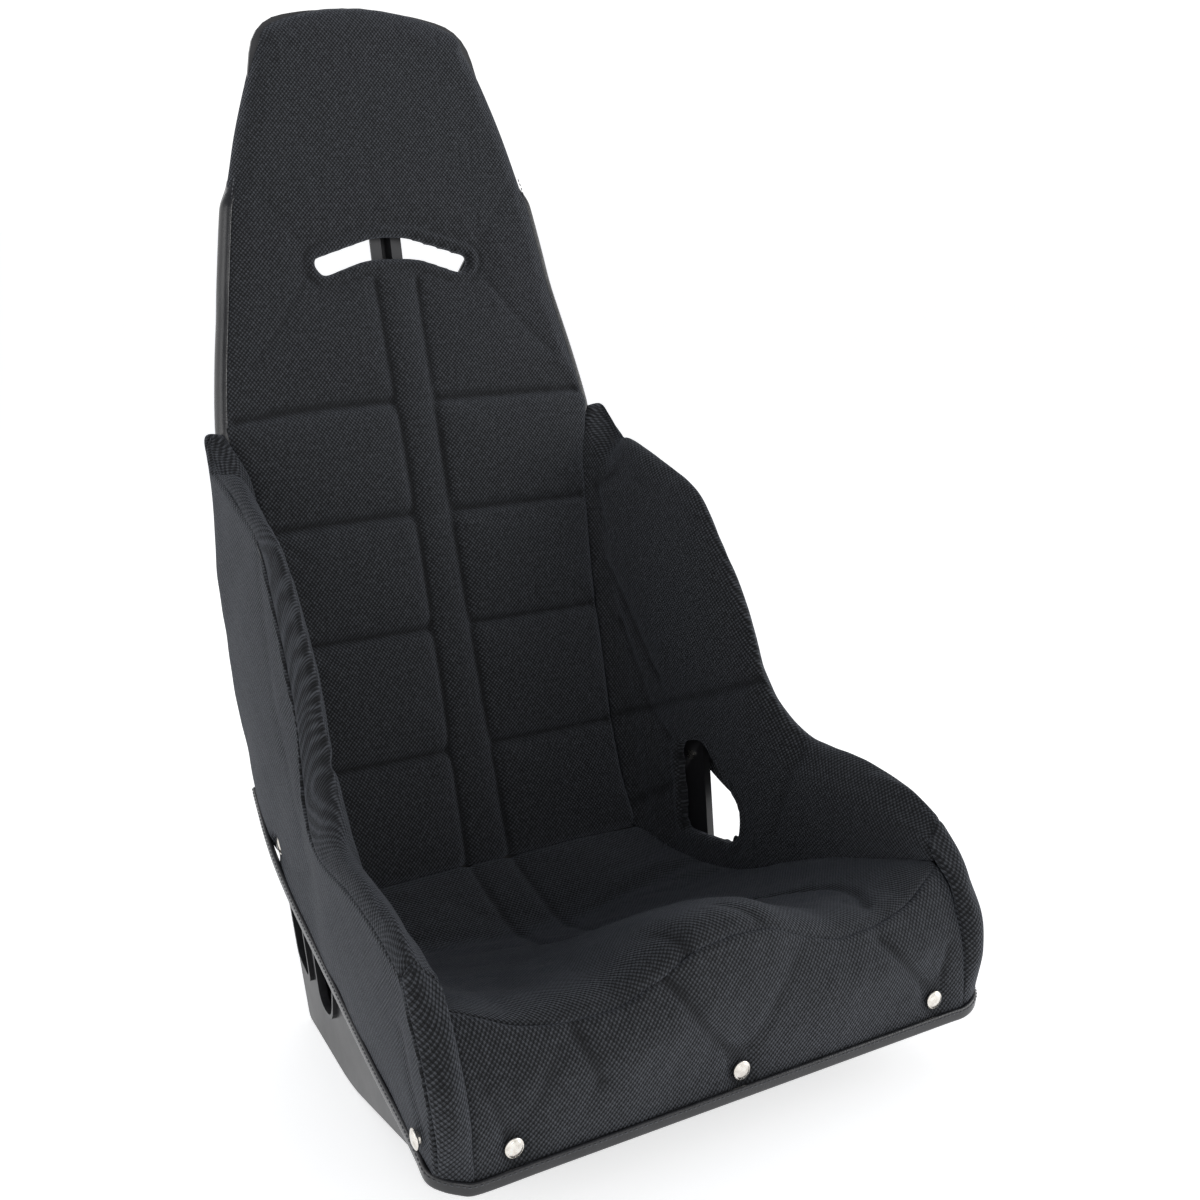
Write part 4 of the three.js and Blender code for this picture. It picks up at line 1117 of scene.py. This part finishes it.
def shoulder_binding(name, side):
    """A piped band folded round the bare edge of the back, tapered at both ends."""
    z = np.linspace(698, 470, 76)
    half = table(EDGE_HEAD, z)
    s = s_of_z(z, 0.0)
    ends = smooth(694, 672, z) + smooth(472, 482, z) - 1
    path = back_point(side * (half - 0.8 - 5.0 * (1 - ends)), s, 1.6 - 3.0 * (1 - ends))
    normal = np.tile([side, -0.35, 0.0], (len(z), 1))
    angle = np.linspace(0, 2 * math.pi, 20, endpoint=False)
    oval = np.column_stack([8.0 * np.cos(angle), 4.2 * np.sin(angle)])
    band = sweep(f"shoulder_binding_band_{name}", path, oval, normal, VINYL)
    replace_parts(band, f"shoulder_binding_{name}")
    line = back_point(side * (half - 3.2), s, np.full(len(z), 7.6))
    stitches(f"shoulder_stitches_{name}", line, np.tile([side * 0.3, -1.0, 0.3], (len(z), 1)))


hem_binding()
shoulder_binding("left", 1)
shoulder_binding("right", -1)


# ------------------------------------------------------------------ snaps
def turned(name, centre, axis, profile, material, slot):
    """A turned piece: profile is (radius, height) pairs from the middle of the top outward."""
    sides = 40
    turn = np.array(Vector((0, 0, 1)).rotation_difference(Vector(axis)).to_matrix())
    verts = [(0, 0, profile[0][1])]
    for radius, height in profile[1:]:
        for k in range(sides):
            angle = 2 * math.pi * k / sides
            verts.append((radius * math.cos(angle), radius * math.sin(angle), height))
    faces = [(0, 1 + k, 1 + (k + 1) % sides) for k in range(sides)]
    for a in range(1, len(verts) - sides, sides):
        b = a + sides
        for k in range(sides):
            q = (k + 1) % sides
            faces.append((a + k, b + k, b + q, a + q))
    faces.append(tuple(range(len(verts) - sides, len(verts)))[::-1])
    points = np.array(verts) @ turn.T + centre
    return finish_piece(new_object(name, row(points), faces), material)


CAP_PROFILE = [(0, 3.3), (1.6, 3.27), (3.2, 3.12), (4.7, 2.8), (5.7, 2.35), (6.3, 1.95), (6.7, 1.9),
               (7.15, 1.8), (7.45, 1.35), (7.5, 0.8), (7.3, 0.3), (6.9, 0.05), (6.7, 0)]


# How far a cap's foot lies behind the middle of the CAD cap.
CAP_SEAT = 0.6


def snap_caps():
    for name in sorted(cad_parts):
        if not name.startswith("snap_cap_"):
            continue
        centre = cap_centre(name)
        axis = (0, -1, 0) if name.startswith("snap_cap_front") else (np.sign(centre[0]), FLARE, -LEAN)
        unit = np.array(axis) / np.linalg.norm(axis)
        dome = name.replace("snap_cap", "snap_dome")
        cap = turned(dome, centre - unit * CAP_SEAT, unit, CAP_PROFILE, NICKEL, "snap_nickel")
        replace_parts(cap, name)


snap_caps()

# ------------------------------------------------------------------ carried-over CAD nodes
REPLACED = ("back_cushion", "head_pocket", "seat_cushion", "front_apron", "side_cushion", "outer_flap",
            "front_corner", "hem_binding", "shoulder_binding", "snap_cap")
for node_name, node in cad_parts.items():
    if node_name.startswith(REPLACED):
        continue
    metal = NICKEL if node_name.startswith("snap_stud") else COAT
    node.data.materials.clear()
    node.data.materials.append(metal)
    if node_name.startswith(("side_panel", "back_panel", "seat_pan", "spine_brace")):
        bevel = node.modifiers.new("softened_edges", "BEVEL")
        bevel.width = 0.0006
        bevel.segments = 2
        bevel.limit_method = "ANGLE"
        bevel.angle_limit = math.radians(40)

# ------------------------------------------------------------------ studio
floor_mesh = bpy.data.meshes.new("studio_floor")
floor_mesh.from_pydata([(-30, -30, 0), (30, -30, 0), (30, 30, 0), (-30, 30, 0)], [], [(0, 1, 2, 3)])
floor = bpy.data.objects.new("studio_floor", floor_mesh)
floor.location.z = -0.0005
SCENE.collection.objects.link(floor)
paper, paper_tree, paper_shader = new_material("studio_paper")
mottle = noise_node(paper_tree, object_place(paper_tree), 3.0)
wire(paper_tree, paper_shader, {
    "Base Color": ramp_node(paper_tree, mottle, [(0.3, (0.88, 0.88, 0.88)), (0.7, (0.90, 0.90, 0.90))]),
    "Roughness": 0.9,
    "Emission Color": (1, 1, 1, 1),
    "Emission Strength": 0.6,
})
floor.data.materials.append(paper)

world = bpy.data.worlds.new("studio")
SCENE.world = world
world.use_nodes = True
sky_tree = world.node_tree
sky_place = sky_tree.nodes.new("ShaderNodeTexCoord").outputs["Generated"]
sky_height = add_node(sky_tree, "ShaderNodeSeparateXYZ", {0: sky_place}).outputs[2]
SKY_COLORS = [(0.0, (1.0, 1.0, 1.0)), (0.22, (1.0, 1.0, 1.0)), (0.55, (0.30, 0.31, 0.33)),
              (1.0, (0.20, 0.21, 0.23))]
sky_color = ramp_node(sky_tree, sky_height, SKY_COLORS)
wire(sky_tree, sky_tree.nodes["Background"], {"Color": sky_color, "Strength": 1.15})
SCENE.view_settings.view_transform = "Standard"


def soft_light(name, place, target, size, power):
    """A rectangular lamp of the given size in metres, aimed at target."""
    data = bpy.data.lights.new(name, "AREA")
    data.shape = "RECTANGLE"
    data.size, data.size_y = size
    data.energy = power
    lamp = bpy.data.objects.new(name, data)
    lamp.location = place
    lamp.rotation_euler = (Vector(target) - Vector(place)).to_track_quat("-Z", "Y").to_euler()
    SCENE.collection.objects.link(lamp)


soft_light("front", (-0.5, -2.6, 1.3), (0, -0.05, 0.35), (1.8, 1.2), 10)
soft_light("side_right", (2.0, -1.4, 0.9), (0, 0, 0.3), (1.0, 1.6), 18)
soft_light("side_left", (-2.3, 0.2, 1.0), (0, 0, 0.4), (1.2, 1.8), 9)
soft_light("rim_behind", (0.2, 2.2, 1.8), (0, 0.1, 0.6), (2.0, 1.0), 12)
